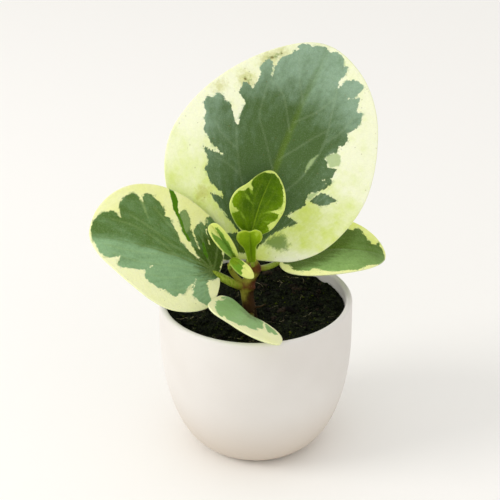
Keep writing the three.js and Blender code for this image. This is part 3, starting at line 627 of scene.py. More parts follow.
def line_distance(points, p, q, start_width=0.0, end_width=0.0):
    """Distance to a smooth tapered line through a few points, negative inside its width."""
    steps, per_span = 20, 8
    line = evenly(smooth_curve(points, per_span), steps)
    nearest = np.full(len(p), np.inf)
    for i in range(steps):
        (x0, y0), (x1, y1) = line[i], line[i + 1]
        dx, dy = x1 - x0, y1 - y0
        t = np.clip(((p - x0) * dx + (q - y0) * dy) / (dx * dx + dy * dy), 0, 1)
        width = start_width + (end_width - start_width) * (i + t) / steps
        nearest = np.minimum(nearest, np.hypot(p - x0 - t * dx, q - y0 - t * dy) - width / 2)
    return nearest


def nearest_of(distances, count):
    """The least of several distances at each of a number of points."""
    nearest = np.full(count, FAR)
    for distance in distances:
        nearest = np.minimum(nearest, distance)
    return nearest


def patch_distance(outlines, p, q):
    """Distance to the nearest of several outlines, negative inside any of them."""
    return nearest_of((outline_distance(np.array(outline, float), p, q) for outline in outlines), len(p))


def vein_distance(veins, p, q):
    return nearest_of((line_distance(vein, p, q) for vein in veins), len(p))


def spot_distance(spots, p, q):
    return nearest_of((np.hypot(p - at_p, q - at_q) - radius for at_p, at_q, radius in spots), len(p))


def green_distance(zones, p, q):
    """Distance to the green lobes, negative inside them, with the cream slits cut out."""
    green = patch_distance(zones["green"], p, q)
    for points, start_width, end_width in zones.get("slits", []):
        green = np.maximum(green, -line_distance(points, p, q, start_width, end_width))
    return green


def gradient(facts, p, q, size):
    """A value from about 0 to 1 that changes smoothly over a blade, as ZONES says."""
    rise, low, high = facts["rise"]
    spread = facts.get("spread", 2)
    value = facts["start"] + facts.get("half", 0) * smoothstep(-spread, spread, p)
    value = value + rise * smoothstep(low, high, q / size) + facts.get("side", 0) * (p / size) ** 2
    # the foot lightens the cream near the base on the right: painted light against the shade there
    foot_ends, foot_starts = (0.02, 0.12), (0.04, 0.18)  # along and across, as shares of the length
    at_foot = (1 - smoothstep(*foot_ends, q / size)) * smoothstep(*foot_starts, p / size)
    return np.clip(value + facts.get("foot", 0) * at_foot, -0.2, 1.2)


# ------------------------------------------------------------------ meshes


def make_object(name, verts, faces, material, attributes=None):
    """A smooth mesh object from vertices in millimetres, with a number per vertex for each attribute."""
    mesh = bpy.data.meshes.new(name)
    mesh.from_pydata((np.asarray(verts) * MM).tolist(), [], faces)
    for key, values in (attributes or {}).items():
        layer = mesh.attributes.new(key, "FLOAT", "POINT")
        layer.data.foreach_set("value", np.asarray(values, np.float32))
    mesh.polygons.foreach_set("use_smooth", [True] * len(mesh.polygons))
    mesh.materials.append(material)
    obj = bpy.data.objects.new(name, mesh)
    bpy.context.scene.collection.objects.link(obj)
    return obj


def weld(obj, distance):
    """Joins vertices that lie within a distance in millimetres and turns all faces outwards."""
    work = bmesh.new()
    work.from_mesh(obj.data)
    bmesh.ops.remove_doubles(work, verts=work.verts, dist=distance * MM)
    bmesh.ops.recalc_face_normals(work, faces=work.faces)
    work.to_mesh(obj.data)
    work.free()


def margin(leaf, side):
    """One side of the margin from base to tip, at equal distances."""
    near, far = (leaf["left"], leaf["right"]) if side < 0 else (leaf["right"], leaf["left"])
    spans = 12
    points = [far[0], leaf["base"], *near, leaf["tip"], far[-1]]
    curve = smooth_curve(points, spans)[spans:-spans]
    return evenly(curve, leaf["net"][0])


def blade_columns(width, columns, rounding):
    """Distances from the margin along one row: close together in the rounded edge, even further in."""
    rim = rounding * np.array([0, 0.12, 0.4, 1])
    reach = max(width, 1e-6)
    narrow = 4 * rounding
    if reach < narrow:
        rim = rim * reach / narrow
    return np.concatenate([rim[:-1], np.linspace(rim[-1], reach, columns - 2)])


def blade_grid(leaf):
    """The (p, q) of every point of a blade's net and its distance from the margin, row by row."""
    inset = BLADE["inset"]
    rows, columns = leaf["net"]
    sides = {side: margin(leaf, side) for side in (-1, 1)}
    rib = np.linspace(leaf["base"][1] + inset, leaf["tip"][1] - inset, rows + 1)
    p = np.zeros((rows + 1, 2 * columns + 1))
    q = np.zeros_like(p)
    for row in range(rows + 1):
        for side in (-1, 1):
            end = sides[side][row]
            width = math.hypot(end[0], end[1] - rib[row])
            inwards = blade_columns(width, columns, BLADE["rounding"]) + inset
            share = 1 - np.minimum(inwards / width, 1)
            column = columns + side * np.arange(columns, -1, -1)
            p[row, column] = end[0] * share
            q[row, column] = rib[row] + (end[1] - rib[row]) * share
    rim = np.vstack([sides[-1], sides[1][::-1]])
    edge = -outline_distance(rim, p.ravel(), q.ravel()).reshape(p.shape) - inset
    edge[0, :] = edge[-1, :] = edge[:, 0] = edge[:, -1] = 0
    return p, q, np.maximum(edge, 0)


def ripple(p, q, size, seed):
    """Soft swells of a whole blade, drawn for one 60 mm long and stretched to its size."""
    drawn_size = 60
    p, q = p * drawn_size / size, q * drawn_size / size
    return (np.sin(0.11 * p + 0.07 * q + seed) * np.cos(0.09 * q - 0.05 * p + 2 * seed)
            + 0.5 * np.sin(0.23 * q + 0.19 * p + 3 * seed))


def blade_faces(leaf, zones, p, q, edge, seed):
    """The upper and the lower face of a blade: where each point of its net lies in space."""
    size = leaf["tip"][1]
    vein = vein_distance(zones["veins"], p.ravel(), q.ravel()).reshape(p.shape)
    inner = smoothstep(0, BLADE["taper"] * size, edge)
    full = BLADE["edge"] + (BLADE["thickness"] - BLADE["edge"]) * inner
    half = 0.5 * full * np.sqrt(1 - (1 - np.clip(edge / BLADE["rounding"], 0, 1)) ** 2)
    swell = BLADE["swell"] * size * ripple(p, q, size, seed) * smoothstep(0, BLADE["calm"] * size, edge)
    fade = 1 - smoothstep(0.55 * size, 0.95 * size, q)
    channel_width, keel_width = 0.012 * size + 0.35, 0.014 * size + 0.4
    channel = BLADE["channel"] * np.exp(-(p / channel_width) ** 2) * (0.25 + 0.75 * fade) * inner
    keel = BLADE["keel"] * np.exp(-(p / keel_width) ** 2) * fade * inner
    furrow = BLADE["furrow"] * np.exp(-(vein / BLADE["vein"]) ** 2) * inner
    top = bend(leaf, p, q, swell + half - channel - furrow)
    bottom = bend(leaf, p, q, swell - half - keel - 0.6 * furrow)
    return top, bottom


def make_blade(name, leaf, zones, material, seed):
    """A closed leaf: two finely modelled faces that meet in a rounded edge, and the petiole with its keel."""
    p, q, edge = blade_grid(leaf)
    top, bottom = blade_faces(leaf, zones, p, q, edge, seed)
    rows, width = p.shape
    at = lambda row, column: row * width + column
    faces = []
    for row in range(rows - 1):
        for column in range(width - 1):
            quad = (at(row, column), at(row, column + 1), at(row + 1, column + 1), at(row + 1, column))
            faces.append(quad)
            faces.append(tuple(rows * width + corner for corner in reversed(quad)))
    both = np.vstack([top.reshape(-1, 3), bottom.reshape(-1, 3)])
    stalk, stalk_faces, share = petiole(leaf)
    verts, faces = together([(both, faces), (stalk, stalk_faces)])

    flat_p, flat_q, flat_edge = (np.tile(grid.ravel(), 2) for grid in (p, q, edge))
    values = leaf_values(zones, flat_p, flat_q, flat_edge, leaf["tip"][1])
    values["under"] = np.repeat([0.0, 1.0], rows * width)
    for key in values:
        values[key] = np.concatenate([values[key], np.full(len(stalk), OFF_BLADE)])
    values["stalk"] = np.concatenate([np.zeros(len(both)), 1 - 0.75 * share])
    obj = make_object(name, verts, faces, material, values)
    weld(obj, 0.001)
    return obj


def leaf_values(zones, p, q, edge, size):
    """The numbers per vertex that the leaf's colours are made from."""
    back = 0.12 * size  # the rays that the lobes and teeth follow start this far behind the blade
    heart_and_shadow = zones.get("heart_and_shadow_along", [(0, 0), (0, 0.5)])
    return {
        "p": p,
        "q": q,
        "edge": edge,
        "green": green_distance(zones, p, q),
        "pale": patch_distance(zones.get("pale", []), p, q),
        "deep": patch_distance(zones.get("deep", []), p, q),
        "smudge": patch_distance(zones.get("smudges", []), p, q),
        "spot": spot_distance(zones.get("spots", []), p, q),
        "vein": np.hypot(vein_distance(zones["veins"], p, q), 0.25),
        "ray": np.arctan2(p, q + back) * 0.5 * size,
        "reach": np.hypot(p, q + back),
        "heart_and_shadow": line_distance(heart_and_shadow, p, q),
        "tone_and_painted_light": gradient(zones["tone_and_painted_light"], p, q, size),
        "milk": gradient(zones["milk"], p, q, size),
    }


def petiole(leaf):
    """The leaf stalk, from inside the stem to the blade and on under the midrib as a fading keel."""
    radius, tip_radius = leaf["stalk_radius"], 0.3
    shares = np.array([0.2, 0.5, 1])
    start_drop, end_drop = 0.75 * radius, 0.45
    drop = -(start_drop + (end_drop - start_drop) * shares)
    keel = bend(leaf, np.zeros(3), leaf["stalk_end"] * shares, drop)
    radius_at = lambda t: radius + (tip_radius - radius) * smoothstep(0.35, 1, t)
    return tube([*leaf["stalk"], *keel], radius_at, sides=16, steps=44)


# ------------------------------------------------------------------ materials


class Nodes:
    """Short names for the shader nodes that the materials are made of."""

    def __init__(self, name):
        self.material = bpy.data.materials.new(name)
        self.material.use_nodes = True
        self.tree = self.material.node_tree
        self.tree.nodes.clear()
        self.shader = self.tree.nodes.new("ShaderNodeBsdfPrincipled")
        output = self.tree.nodes.new("ShaderNodeOutputMaterial")
        self.tree.links.new(self.shader.outputs[0], output.inputs["Surface"])

    def feed(self, socket, value):
        if isinstance(value, bpy.types.NodeSocket):
            self.tree.links.new(value, socket)
        elif isinstance(value, (tuple, list)) and len(value) == 3 and len(socket.default_value) == 4:
            socket.default_value = (*value, 1)
        else:
            socket.default_value = value

    def set(self, **values):
        for key, value in values.items():
            self.feed(self.shader.inputs[key.replace("_", " ")], value)

    def attribute(self, name):
        node = self.tree.nodes.new("ShaderNodeAttribute")
        node.attribute_name = name
        return node.outputs["Fac"]

    def place(self):
        """Position in the object's own space, in millimetres."""
        node = self.tree.nodes.new("ShaderNodeTexCoord")
        return self.stretch(node.outputs["Object"], (1 / MM, 1 / MM, 1 / MM))

    def stretch(self, vector, scale):
        node = self.tree.nodes.new("ShaderNodeVectorMath")
        node.operation = "MULTIPLY"
        self.feed(node.inputs[0], vector)
        node.inputs[1].default_value = scale
        return node.outputs[0]

    def join(self, x, y, z):
        node = self.tree.nodes.new("ShaderNodeCombineXYZ")
        for socket, value in zip(node.inputs, (x, y, z)):
            self.feed(socket, value)
        return node.outputs[0]

    def split(self, vector):
        node = self.tree.nodes.new("ShaderNodeSeparateXYZ")
        self.feed(node.inputs[0], vector)
        return node.outputs

    def math(self, operation, *values):
        node = self.tree.nodes.new("ShaderNodeMath")
        node.operation = operation
        for socket, value in zip(node.inputs, values):
            self.feed(socket, value)
        return node.outputs[0]

    def total(self, *values):
        result = values[0]
        for value in values[1:]:
            result = self.math("ADD", result, value)
        return result

    def times(self, a, b):
        return self.math("MULTIPLY", a, b)

    def noise(self, vector, scale, detail=2.0, roughness=0.5):
        """Noise centred on zero, running from about -0.5 to 0.5."""
        node = self.tree.nodes.new("ShaderNodeTexNoise")
        self.feed(node.inputs["Vector"], vector)
        node.inputs["Scale"].default_value = scale
        node.inputs["Detail"].default_value = detail
        node.inputs["Roughness"].default_value = roughness
        return self.math("SUBTRACT", node.outputs["Fac"], 0.5)

    def voronoi(self, vector, scale, feature="F1"):
        node = self.tree.nodes.new("ShaderNodeTexVoronoi")
        node.feature = feature
        self.feed(node.inputs["Vector"], vector)
        node.inputs["Scale"].default_value = scale
        return node.outputs

    def cells(self, vector, scale):
        """Distance from the middle of the nearest of many irregular cells."""
        return self.voronoi(vector, scale)["Distance"]

    def cell_walls(self, vector, scale):
        """Distance from the nearest wall between irregular cells."""
        return self.voronoi(vector, scale, "DISTANCE_TO_EDGE")["Distance"]

    def cell_numbers(self, vector, scale):
        """A random number for each irregular cell, from -0.5 to 0.5."""
        return self.math("SUBTRACT", self.split(self.voronoi(vector, scale)["Color"])[0], 0.5)

    def ramp(self, value, low, high, start=0.0, end=1.0):
        node = self.tree.nodes.new("ShaderNodeMapRange")
        node.interpolation_type = "SMOOTHSTEP"
        sockets = ("Value", "From Min", "From Max", "To Min", "To Max")
        for key, number in zip(sockets, (value, low, high, start, end)):
            self.feed(node.inputs[key], number)
        return node.outputs["Result"]

    def blend(self, factor, first, second):
        """Mixes two colours: a mix node has them in inputs 6 and 7 and in output 2."""
        node = self.tree.nodes.new("ShaderNodeMix")
        node.data_type = "RGBA"
        self.feed(node.inputs[0], factor)
        self.feed(node.inputs[6], first)
        self.feed(node.inputs[7], second)
        return node.outputs[2]

    def brighten(self, colour, factor):
        node = self.tree.nodes.new("ShaderNodeHueSaturation")
        self.feed(node.inputs["Color"], colour)
        self.feed(node.inputs["Value"], factor)
        return node.outputs[0]

    def bump(self, height, distance, strength=1.0):
        node = self.tree.nodes.new("ShaderNodeBump")
        node.inputs["Strength"].default_value = strength
        node.inputs["Distance"].default_value = distance * MM
        self.feed(node.inputs["Height"], height)
        self.feed(self.shader.inputs["Normal"], node.outputs[0])


def shade(red, green, blue):
    """A colour as it looks on a screen, from 0 to 255, in the renderer's linear values."""
    return tuple((c / 255 / 12.92) if c / 255 <= 0.04045 else ((c / 255 + 0.055) / 1.055) ** 2.4
                 for c in (red, green, blue))


MATURE = {
    "lime": shade(214, 229, 110),
    "milk": shade(246, 249, 218),
    "dark": shade(70, 98, 54),
    # glaucous green, partly the blade's own bloom and partly painted sheen
    "light": shade(148, 177, 152),
    "pale": shade(168, 192, 134),
    "deep": shade(56, 90, 8),
    "midrib": shade(88, 116, 36),
    "heart_and_shadow": shade(70, 94, 4),
    "smudge": shade(100, 134, 68),
    "stain": shade(190, 188, 92),
    "spot": shade(116, 98, 46),
    "vein": shade(176, 196, 156),
    # pale rim: partly the margin's own colour, partly a painted highlight along the rounded edge
    "rim": shade(238, 241, 198),
    "under": shade(182, 198, 142),
    "rib_width": 2.4,
    "heart_and_shadow_reach": 14,
    "teeth": 0.6,
    "streak": 0.5,
    "vein_share": 0.12,
}
PALETTES = {
    "leaf_back": MATURE,
    "leaf_left": {
        **MATURE,
        "dark": shade(82, 115, 56),
        "light": shade(142, 180, 134),
        "pale": shade(134, 160, 98),
        "vein": shade(170, 194, 118),
        "milk": shade(248, 250, 200),
        "midrib": shade(104, 132, 74),
        "rib_width": 0.7,
        "lime": shade(236, 240, 156),
        "deep": shade(70, 120, 10),
        "heart_and_shadow": shade(48, 76, 0),
        "heart_and_shadow_reach": 12,
        "streak": 0.9,
    },
    "leaf_right": {
        **MATURE,
        "dark": shade(66, 100, 0),
        "light": shade(148, 188, 106),
        "lime": shade(226, 238, 118),
        "milk": shade(250, 253, 176),
        "rib_width": 1,
        # a painted shadow of leaf_back, in place of a dark heart at the base
        "heart_and_shadow": shade(66, 96, 0),
        "heart_and_shadow_reach": 8,
        "streak": 0.12,
        "vein": shade(112, 146, 66),
    },
    "leaf_front": {
        **MATURE,
        "dark": shade(130, 174, 100),
        "light": shade(160, 204, 134),
        # painted light: the midrib is as light as the blade, against the shade in its groove
        "midrib": shade(146, 186, 112),
        "heart_and_shadow": shade(104, 138, 70),
        # painted light: the cream at full brightness, against the shade this blade lies in
        "lime": shade(253, 255, 168),
        "milk": shade(255, 255, 200),
        "rib_width": 0.8,
        "heart_and_shadow_reach": 6,
    },
}
YOUNG = {
    **MATURE,
    "lime": shade(165, 192, 66),
    "milk": shade(222, 235, 134),
    "dark": shade(50, 86, 0),
    "light": shade(124, 162, 0),
    "pale": shade(134, 168, 44),
    "midrib": shade(122, 152, 24),
    "heart_and_shadow": shade(104, 134, 10),
    "vein": shade(122, 152, 28),
    "rim": shade(214, 226, 122),
    "rib_width": 0.4,
    "heart_and_shadow_reach": 4,
    "teeth": 0.35,
    "vein_share": 0.18,
}
PALETTES["leaf_young"] = YOUNG
PALETTES["leaf_bud"] = {
    **YOUNG,
    "lime": shade(150, 175, 30),
    "milk": shade(176, 198, 60),
    "dark": shade(108, 144, 4),
    "light": shade(146, 180, 26),
    "heart_and_shadow": shade(112, 140, 20),
    "midrib": shade(84, 114, 4),
    "rim": shade(190, 210, 84),
    "pale": shade(176, 204, 70),
    "rib_width": 0.6,
}
PALETTES["shoot_leaf_upper"] = {
    **YOUNG,
    "lime": shade(200, 214, 104),
    "milk": shade(222, 230, 132),
    "dark": shade(88, 128, 30),
    "light": shade(112, 158, 60),
    "midrib": shade(96, 136, 36),
}
PALETTES["shoot_leaf_lower"] = {
    **YOUNG,
    "lime": shade(206, 218, 108),
    "milk": shade(230, 235, 140),
    "dark": shade(84, 128, 22),
    "light": shade(106, 154, 40),
    "midrib": shade(140, 170, 60),
}


def leaf_patterns(n, seed):
    """The noises that the colours of a blade share, even ones and ones in rays from its base."""
    p, q = n.attribute("p"), n.attribute("q")
    flat = n.join(p, q, seed)
    rays = n.join(n.attribute("ray"), n.times(n.attribute("reach"), 0.6), seed)
    grain = n.noise(flat, 1.7, detail=2)
    crumble = n.noise(flat, 0.8, detail=3, roughness=0.6)
    blotch = n.noise(flat, 0.4, detail=3)
    teeth = n.total(n.cell_numbers(rays, 0.8), n.times(n.cell_numbers(rays, 1.9), 0.7), n.times(crumble, 0.6))
    warped = n.join(n.total(p, n.times(crumble, 2)), n.total(q, n.times(blotch, 2)), seed)
    return SimpleNamespace(
        grain=grain,
        crumble=crumble,
        blotch=blotch,
        teeth=teeth,
        mottle=n.noise(flat, 0.14, detail=3),
        speckle=n.noise(flat, 3, detail=3, roughness=0.8),
        dust=n.ramp(n.noise(flat, 2.2, detail=3, roughness=0.7), -0.05, 0.25),
        streaks=n.noise(n.stretch(rays, (1, 0.3, 1)), 0.55, detail=3, roughness=0.6),
        net=n.ramp(n.cell_walls(warped, 0.36), 0.14, 0.02),
        specks=n.ramp(n.total(n.cells(flat, 0.3), n.times(grain, 0.1)), 0.1, 0.05, 0, 0.35),
    )


def green_skin(n, palette, size, noise):
    """Dark to glaucous green, partly painted sheen and shade, with a yellower midrib, a dark heart at the
    base that on leaf_right is a painted shadow along a line, and pale veins.
    """
    # the tone is partly painted sheen and painted shade on the grown leaves
    tone_and_painted_light = n.total(n.attribute("tone_and_painted_light"), n.times(noise.mottle, 0.5), n.times(noise.blotch, 0.25),
                   n.times(noise.streaks, palette["streak"]))
    skin = n.blend(n.ramp(tone_and_painted_light, 0, 1), palette["dark"], palette["light"])
    beside = n.total(n.math("ABSOLUTE", n.attribute("p")), n.times(noise.streaks, 1.2))
    midrib = n.ramp(beside, palette["rib_width"], 0.1 * palette["rib_width"])
    fading = n.ramp(n.attribute("q"), size, 0.4 * size, 0.15, 0.75)
    skin = n.blend(n.times(midrib, fading), skin, palette["midrib"])
    # dark near the base, and on leaf_right along the edge of leaf_back as a painted shadow
    reach = palette["heart_and_shadow_reach"]
    heart_and_shadow = n.total(n.attribute("heart_and_shadow"), n.times(noise.crumble, 3), n.times(noise.streaks, 0.9 * reach))
    near_heart_and_shadow = n.ramp(heart_and_shadow, reach, 0.35 * reach, 0, 0.9)
    skin = n.blend(near_heart_and_shadow, skin, palette["heart_and_shadow"])
    near_vein = n.ramp(n.total(n.attribute("vein"), n.times(noise.crumble, 0.8)), 0.8, 0.2)
    vein_share = n.total(n.times(near_heart_and_shadow, 0.08), palette["vein_share"])
    return n.blend(n.times(near_vein, vein_share), skin, palette["vein"])


def cream_skin(n, palette, noise, border):
    """Lime to milky cream with a green fringe along the lobes, stains round the spots, and smudges."""
    milk = n.total(n.attribute("milk"), n.times(noise.mottle, 0.9), n.times(noise.blotch, 0.3),
                   n.times(noise.streaks, 0.3))
    skin = n.blend(n.ramp(milk, 0, 1), palette["lime"], palette["milk"])
    fringe = n.times(n.ramp(border, 1.3, 0.1), n.ramp(noise.blotch, 0.02, 0.16, 0, 0.6))
    skin = n.blend(fringe, skin, palette["pale"])
    round_spot = n.total(n.attribute("spot"), n.times(noise.crumble, 4), n.times(noise.blotch, 4))
    skin = n.blend(n.ramp(round_spot, 4.2, 0.2, 0, 0.5), skin, palette["stain"])
    in_smudge = n.total(n.attribute("smudge"), n.times(noise.crumble, 4), n.times(noise.streaks, 4))
    return n.blend(n.ramp(in_smudge, 0.8, -1.6, 0, 0.8), skin, palette["smudge"])


def marked_skin(n, palette, noise, skin):
    """Adds the pale and deep patches, brown spots and specks, the pale rim (partly the margin's own colour,
    partly a painted highlight along the edge) and the underside.
    """
    in_pale = n.total(n.attribute("pale"), n.times(noise.crumble, 1.2))
    skin = n.blend(n.ramp(in_pale, 0.3, -0.5, 0, 0.8), skin, palette["pale"])
    in_deep = n.total(n.attribute("deep"), n.times(noise.crumble, 0.9))
    skin = n.blend(n.ramp(in_deep, 0.15, -0.1), skin, palette["deep"])
    in_spot = n.total(n.attribute("spot"), n.times(noise.crumble, 1.2))
    brown = n.math("MAXIMUM", n.ramp(in_spot, 0.25, -0.25, 0, 0.75), noise.specks)
    skin = n.blend(brown, skin, palette["spot"])
    # pale rim: partly the margin's own colour, partly a painted highlight along the rounded edge
    skin = n.blend(n.ramp(n.attribute("edge"), 0.5, 0.1, 0, 0.35), skin, palette["rim"])
    return n.blend(n.times(n.attribute("under"), 0.55), skin, palette["under"])


def leaf_material(name, palette, size, seed):
    """Cream skin with green lobes: ZONES draws their large form, and noise their teeth and tones."""
    n = Nodes(name)
    noise = leaf_patterns(n, seed)
    border = n.total(n.attribute("green"), n.times(noise.teeth, palette["teeth"]))
    is_green = n.ramp(border, 0.2, -0.2)
    skin = n.blend(is_green, cream_skin(n, palette, noise, border), green_skin(n, palette, size, noise))
    skin = marked_skin(n, palette, noise, skin)
    skin = n.blend(n.times(noise.dust, n.times(is_green, 0.09)), skin, palette["milk"])
    texture = n.total(n.times(noise.grain, 0.3), n.times(noise.speckle, 0.4), n.times(noise.crumble, 0.16),
                      n.times(noise.net, -0.05))
    contrast = n.ramp(border, 0.2, -0.2, 0.35, 1)
    skin = n.brighten(skin, n.total(0.99, n.times(texture, contrast)))
    skin = n.blend(n.ramp(n.attribute("stalk"), 0.05, 0.3), skin, stalk_colour(n))

    n.set(Base_Color=skin, Roughness=n.total(0.44, n.times(noise.crumble, 0.12), n.times(noise.mottle, 0.1)))
    n.set(Subsurface_Weight=0.15, Subsurface_Scale=MM, Subsurface_Radius=(1.0, 1.1, 0.4))
    n.set(Specular_IOR_Level=0.25, Specular_Tint=(0.85, 1, 0.2))
    height = n.total(n.times(noise.grain, 0.5), n.times(noise.streaks, 0.6), noise.crumble,
                     n.times(noise.net, -0.2))
    n.bump(height, 0.12, 0.6)
    return n.material


def stalk_colour(n):
    """Yellow-green along the stalk, turning red-brown where it leaves the stem and darker near the soil in
    painted shade.
    """
    place = n.place()
    fibres = n.noise(n.stretch(place, (1, 1, 0.25)), 1.6, detail=3)
    green = n.blend(n.ramp(fibres, -0.25, 0.25), shade(108, 130, 18), shade(160, 178, 70))
    rusty = n.ramp(n.total(n.attribute("stalk"), n.times(fibres, 0.35)), 0.75, 1, 0, 0.8)
    # painted shade: darker below the leaves, towards the soil
    low = n.ramp(n.split(place)[2], 73, 66, 0, 0.7)
    return n.blend(low, n.blend(rusty, green, shade(104, 44, 14)), shade(40, 34, 10))


def stem_material():
    """Yellow-green skin with painted light on the upper left, reddish brown at the foot and at the nodes,
    with painted shade on the right and near the soil.
    """
    n = Nodes("stem skin")
    place = n.place()
    x, y, height = n.split(place)
    patches = n.noise(place, 0.32, detail=3)
    fibres = n.noise(n.stretch(place, (1, 1, 0.2)), 2.4, detail=3)
    # greener higher up and on the left: painted light on the lit side, painted shade to the right
    higher, further_right = n.math("SUBTRACT", height, 71), n.math("ADD", x, 2.6)
    green_and_lit = n.total(n.times(higher, 0.11), n.times(further_right, -0.22), n.times(patches, 1.6),
                        n.times(fibres, 0.5))
    skin = n.blend(n.ramp(green_and_lit, -0.1, 0.9), shade(50, 26, 8), shade(132, 130, 44))
    # painted shade: darker towards the soil, under the leaves
    skin = n.blend(n.ramp(n.total(height, n.times(patches, 6)), 71, 64, 0, 0.8), skin, shade(26, 18, 8))
    # painted shade on the right side
    skin = n.blend(n.ramp(x, 0.6, 2, 0, 0.7), skin, shade(52, 42, 26))
    node_heights = (76.2, 82.8)
    from_nodes = [n.math("ABSOLUTE", n.math("SUBTRACT", height, z)) for z in node_heights]
    nearest = n.math("MINIMUM", *from_nodes)
    on_stem = n.ramp(x, -6.5, -4.5)
    red = n.times(n.ramp(n.total(nearest, n.times(patches, 4)), 2.6, 0.4, 0, 0.9), on_stem)
    skin = n.blend(red, skin, shade(74, 26, 6))
    lenticels = n.ramp(n.cells(n.stretch(place, (1, 1, 0.5)), 0.9), 0.16, 0.1, 0, 0.4)
    skin = n.blend(lenticels, skin, shade(140, 124, 72))
    n.set(Base_Color=skin, Roughness=n.total(0.5, n.times(fibres, 0.2)))
    n.set(Subsurface_Weight=0.08, Subsurface_Scale=MM, Subsurface_Radius=(1.0, 0.8, 0.3))
    n.set(Specular_IOR_Level=0.25, Specular_Tint=(1, 0.8, 0.35))
    n.bump(n.total(fibres, n.times(patches, 0.5)), 0.25, 0.7)
    return n.material


def pot_material():
    """Matte white glaze, made warmer and greyer down on the bowl by painted shade and a painted warm
    reflection.
    """
    n = Nodes("matte white ceramic")
    place = n.place()
    clouds = n.noise(place, 0.03, detail=3)
    speckle = n.noise(place, 2.2, detail=3, roughness=0.6)
    # painted shade and a painted warm reflection, stronger towards the foot
    low = n.ramp(n.split(place)[2], 0.75 * POT["shoulder"], 0)
    cloudy = n.ramp(n.total(clouds, n.times(speckle, 0.25)), -0.3, 0.3)
    upper = n.blend(cloudy, shade(221, 216, 210), shade(228, 224, 219))
    n.set(Base_Color=n.blend(low, upper, shade(206, 194, 180)))
    n.set(Roughness=n.total(0.5, n.times(speckle, 0.12), n.times(clouds, 0.1)), Specular_IOR_Level=0.4)
    n.bump(n.total(n.times(speckle, 0.6), n.times(n.noise(place, 0.25, detail=2), 1.5)), 0.05, 0.35)
    return n.material


def soil_material(name, dark, light):
    n = Nodes(name)
    place = n.place()
    lumps = n.noise(place, 0.6, detail=4, roughness=0.65)
    grit = n.noise(place, 1.5, detail=3, roughness=0.7)
    tint = n.total(0.3, lumps, n.times(grit, 2.4), n.times(n.attribute("shade"), 0.8))
    n.set(Base_Color=n.blend(n.ramp(tint, 0, 1.2), dark, light), Roughness=0.95, Specular_IOR_Level=0.1)
    n.bump(n.noise(place, 2.5, detail=4, roughness=0.7), 0.5, 0.9)
    return n.material


def floor_material():
    n = Nodes("pale floor")
    n.set(Base_Color=shade(250, 248, 244), Roughness=0.75, Specular_IOR_Level=0.1)
    return n.material


# ------------------------------------------------------------------ pot and soil


def lathe(profile, sides):
    """A closed solid of revolution about Z from an (r, z) profile that starts and ends on the axis."""
    verts = [(0, 0, profile[0][1])]
    for r, z in profile[1:-1]:
        for turn in np.linspace(0, 2 * np.pi, sides, endpoint=False):
            verts.append((r * math.cos(turn), r * math.sin(turn), z))
    verts.append((0, 0, profile[-1][1]))
    return np.array(verts), ring_faces(len(profile) - 2, sides)


def bowl(foot_radius, floor, steps=28):
    """Quarter-ellipse side of the pot, from its floor up to the shoulder."""
    turns = np.linspace(0, np.pi / 2, steps + 1)
    spread = POT["radius"] - POT["foot_radius"]
    rise = POT["shoulder"] - floor
    return [(foot_radius + spread * math.sin(t), floor + rise * (1 - math.cos(t))) for t in turns]


def make_pot(material):
    lip, height = POT["lip"], POT["height"]
    outside = bowl(POT["foot_radius"], 0)
    wall_heights = np.linspace(POT["shoulder"], height - lip, 7)[1:-1]
    upright = [(POT["radius"], z) for z in wall_heights]
    turns = np.radians(np.linspace(0, 180, 17))
    rim = [(POT["radius"] - lip + lip * math.cos(t), height - lip + lip * math.sin(t)) for t in turns]
    inner_radius = POT["radius"] - POT["wall"]
    down = [(inner_radius, z) for z in reversed(wall_heights)]
    inside = bowl(POT["foot_radius"] - POT["wall"], POT["floor"])[::-1]
    profile = [(0, 0), *outside, *upright, *rim, *down, *inside, (0, POT["floor"])]
    verts, faces = lathe(profile, sides=160)
    pot = make_object("ceramic_pot", verts, faces, material)
    weld(pot, 0.0001)
    return pot


def soil_height(x, y):
    """Height of the soil: low clods on a slightly crowned bed, banked up at the back, with fine crumbs."""
    share = np.hypot(x, y) / (POT["radius"] - POT["wall"])
    clods = (np.sin(0.42 * x + 1.3) * np.cos(0.37 * y - 0.4) + 0.6 * np.sin(0.81 * x - 0.53 * y)
             + 0.4 * np.cos(0.67 * x + 0.94 * y))
    crumbs = (np.sin(2.3 * x + 1.1 * np.sin(1.7 * y)) * np.sin(2.1 * y + 1.3 * np.sin(1.9 * x + 0.5))
              + 0.6 * np.sin(4.1 * x - 2.7 * y) * np.sin(3.3 * y + 2.2 * x))
    bank = SOIL["bank"] * smoothstep(*SOIL["bank_rises"], y) * (1 - smoothstep(*SOIL["bank_falls"], x))
    loose = SOIL["level"] + SOIL["crown"] * (0.5 - share ** 2) + bank
    return loose + SOIL["clods"] * clods + SOIL["crumbs"] * crumbs - SOIL["settled"]


def make_soil_bed(material):
    """The soil as one closed body that fills the pot, with a crumbly surface."""
    gap = SOIL["gap"]
    side = [(r - gap, z + gap) for r, z in bowl(POT["foot_radius"] - POT["wall"], POT["floor"], steps=12)]
    edge = POT["radius"] - POT["wall"] - gap
    rings = 75
    surface = [(r, SOIL["level"]) for r in np.linspace(edge, 0, rings)[:-1]]
    verts, faces = lathe([(0, POT["floor"] + gap), *side, *surface, (0, SOIL["level"])], sides=240)
    on_top = verts[:, 2] > SOIL["level"] - 0.01
    verts[on_top, 2] = soil_height(verts[on_top, 0], verts[on_top, 1])
    bed = make_object("soil_bed", verts, faces, material, {"shade": np.zeros(len(verts))})
    weld(bed, 0.0001)
    return bed


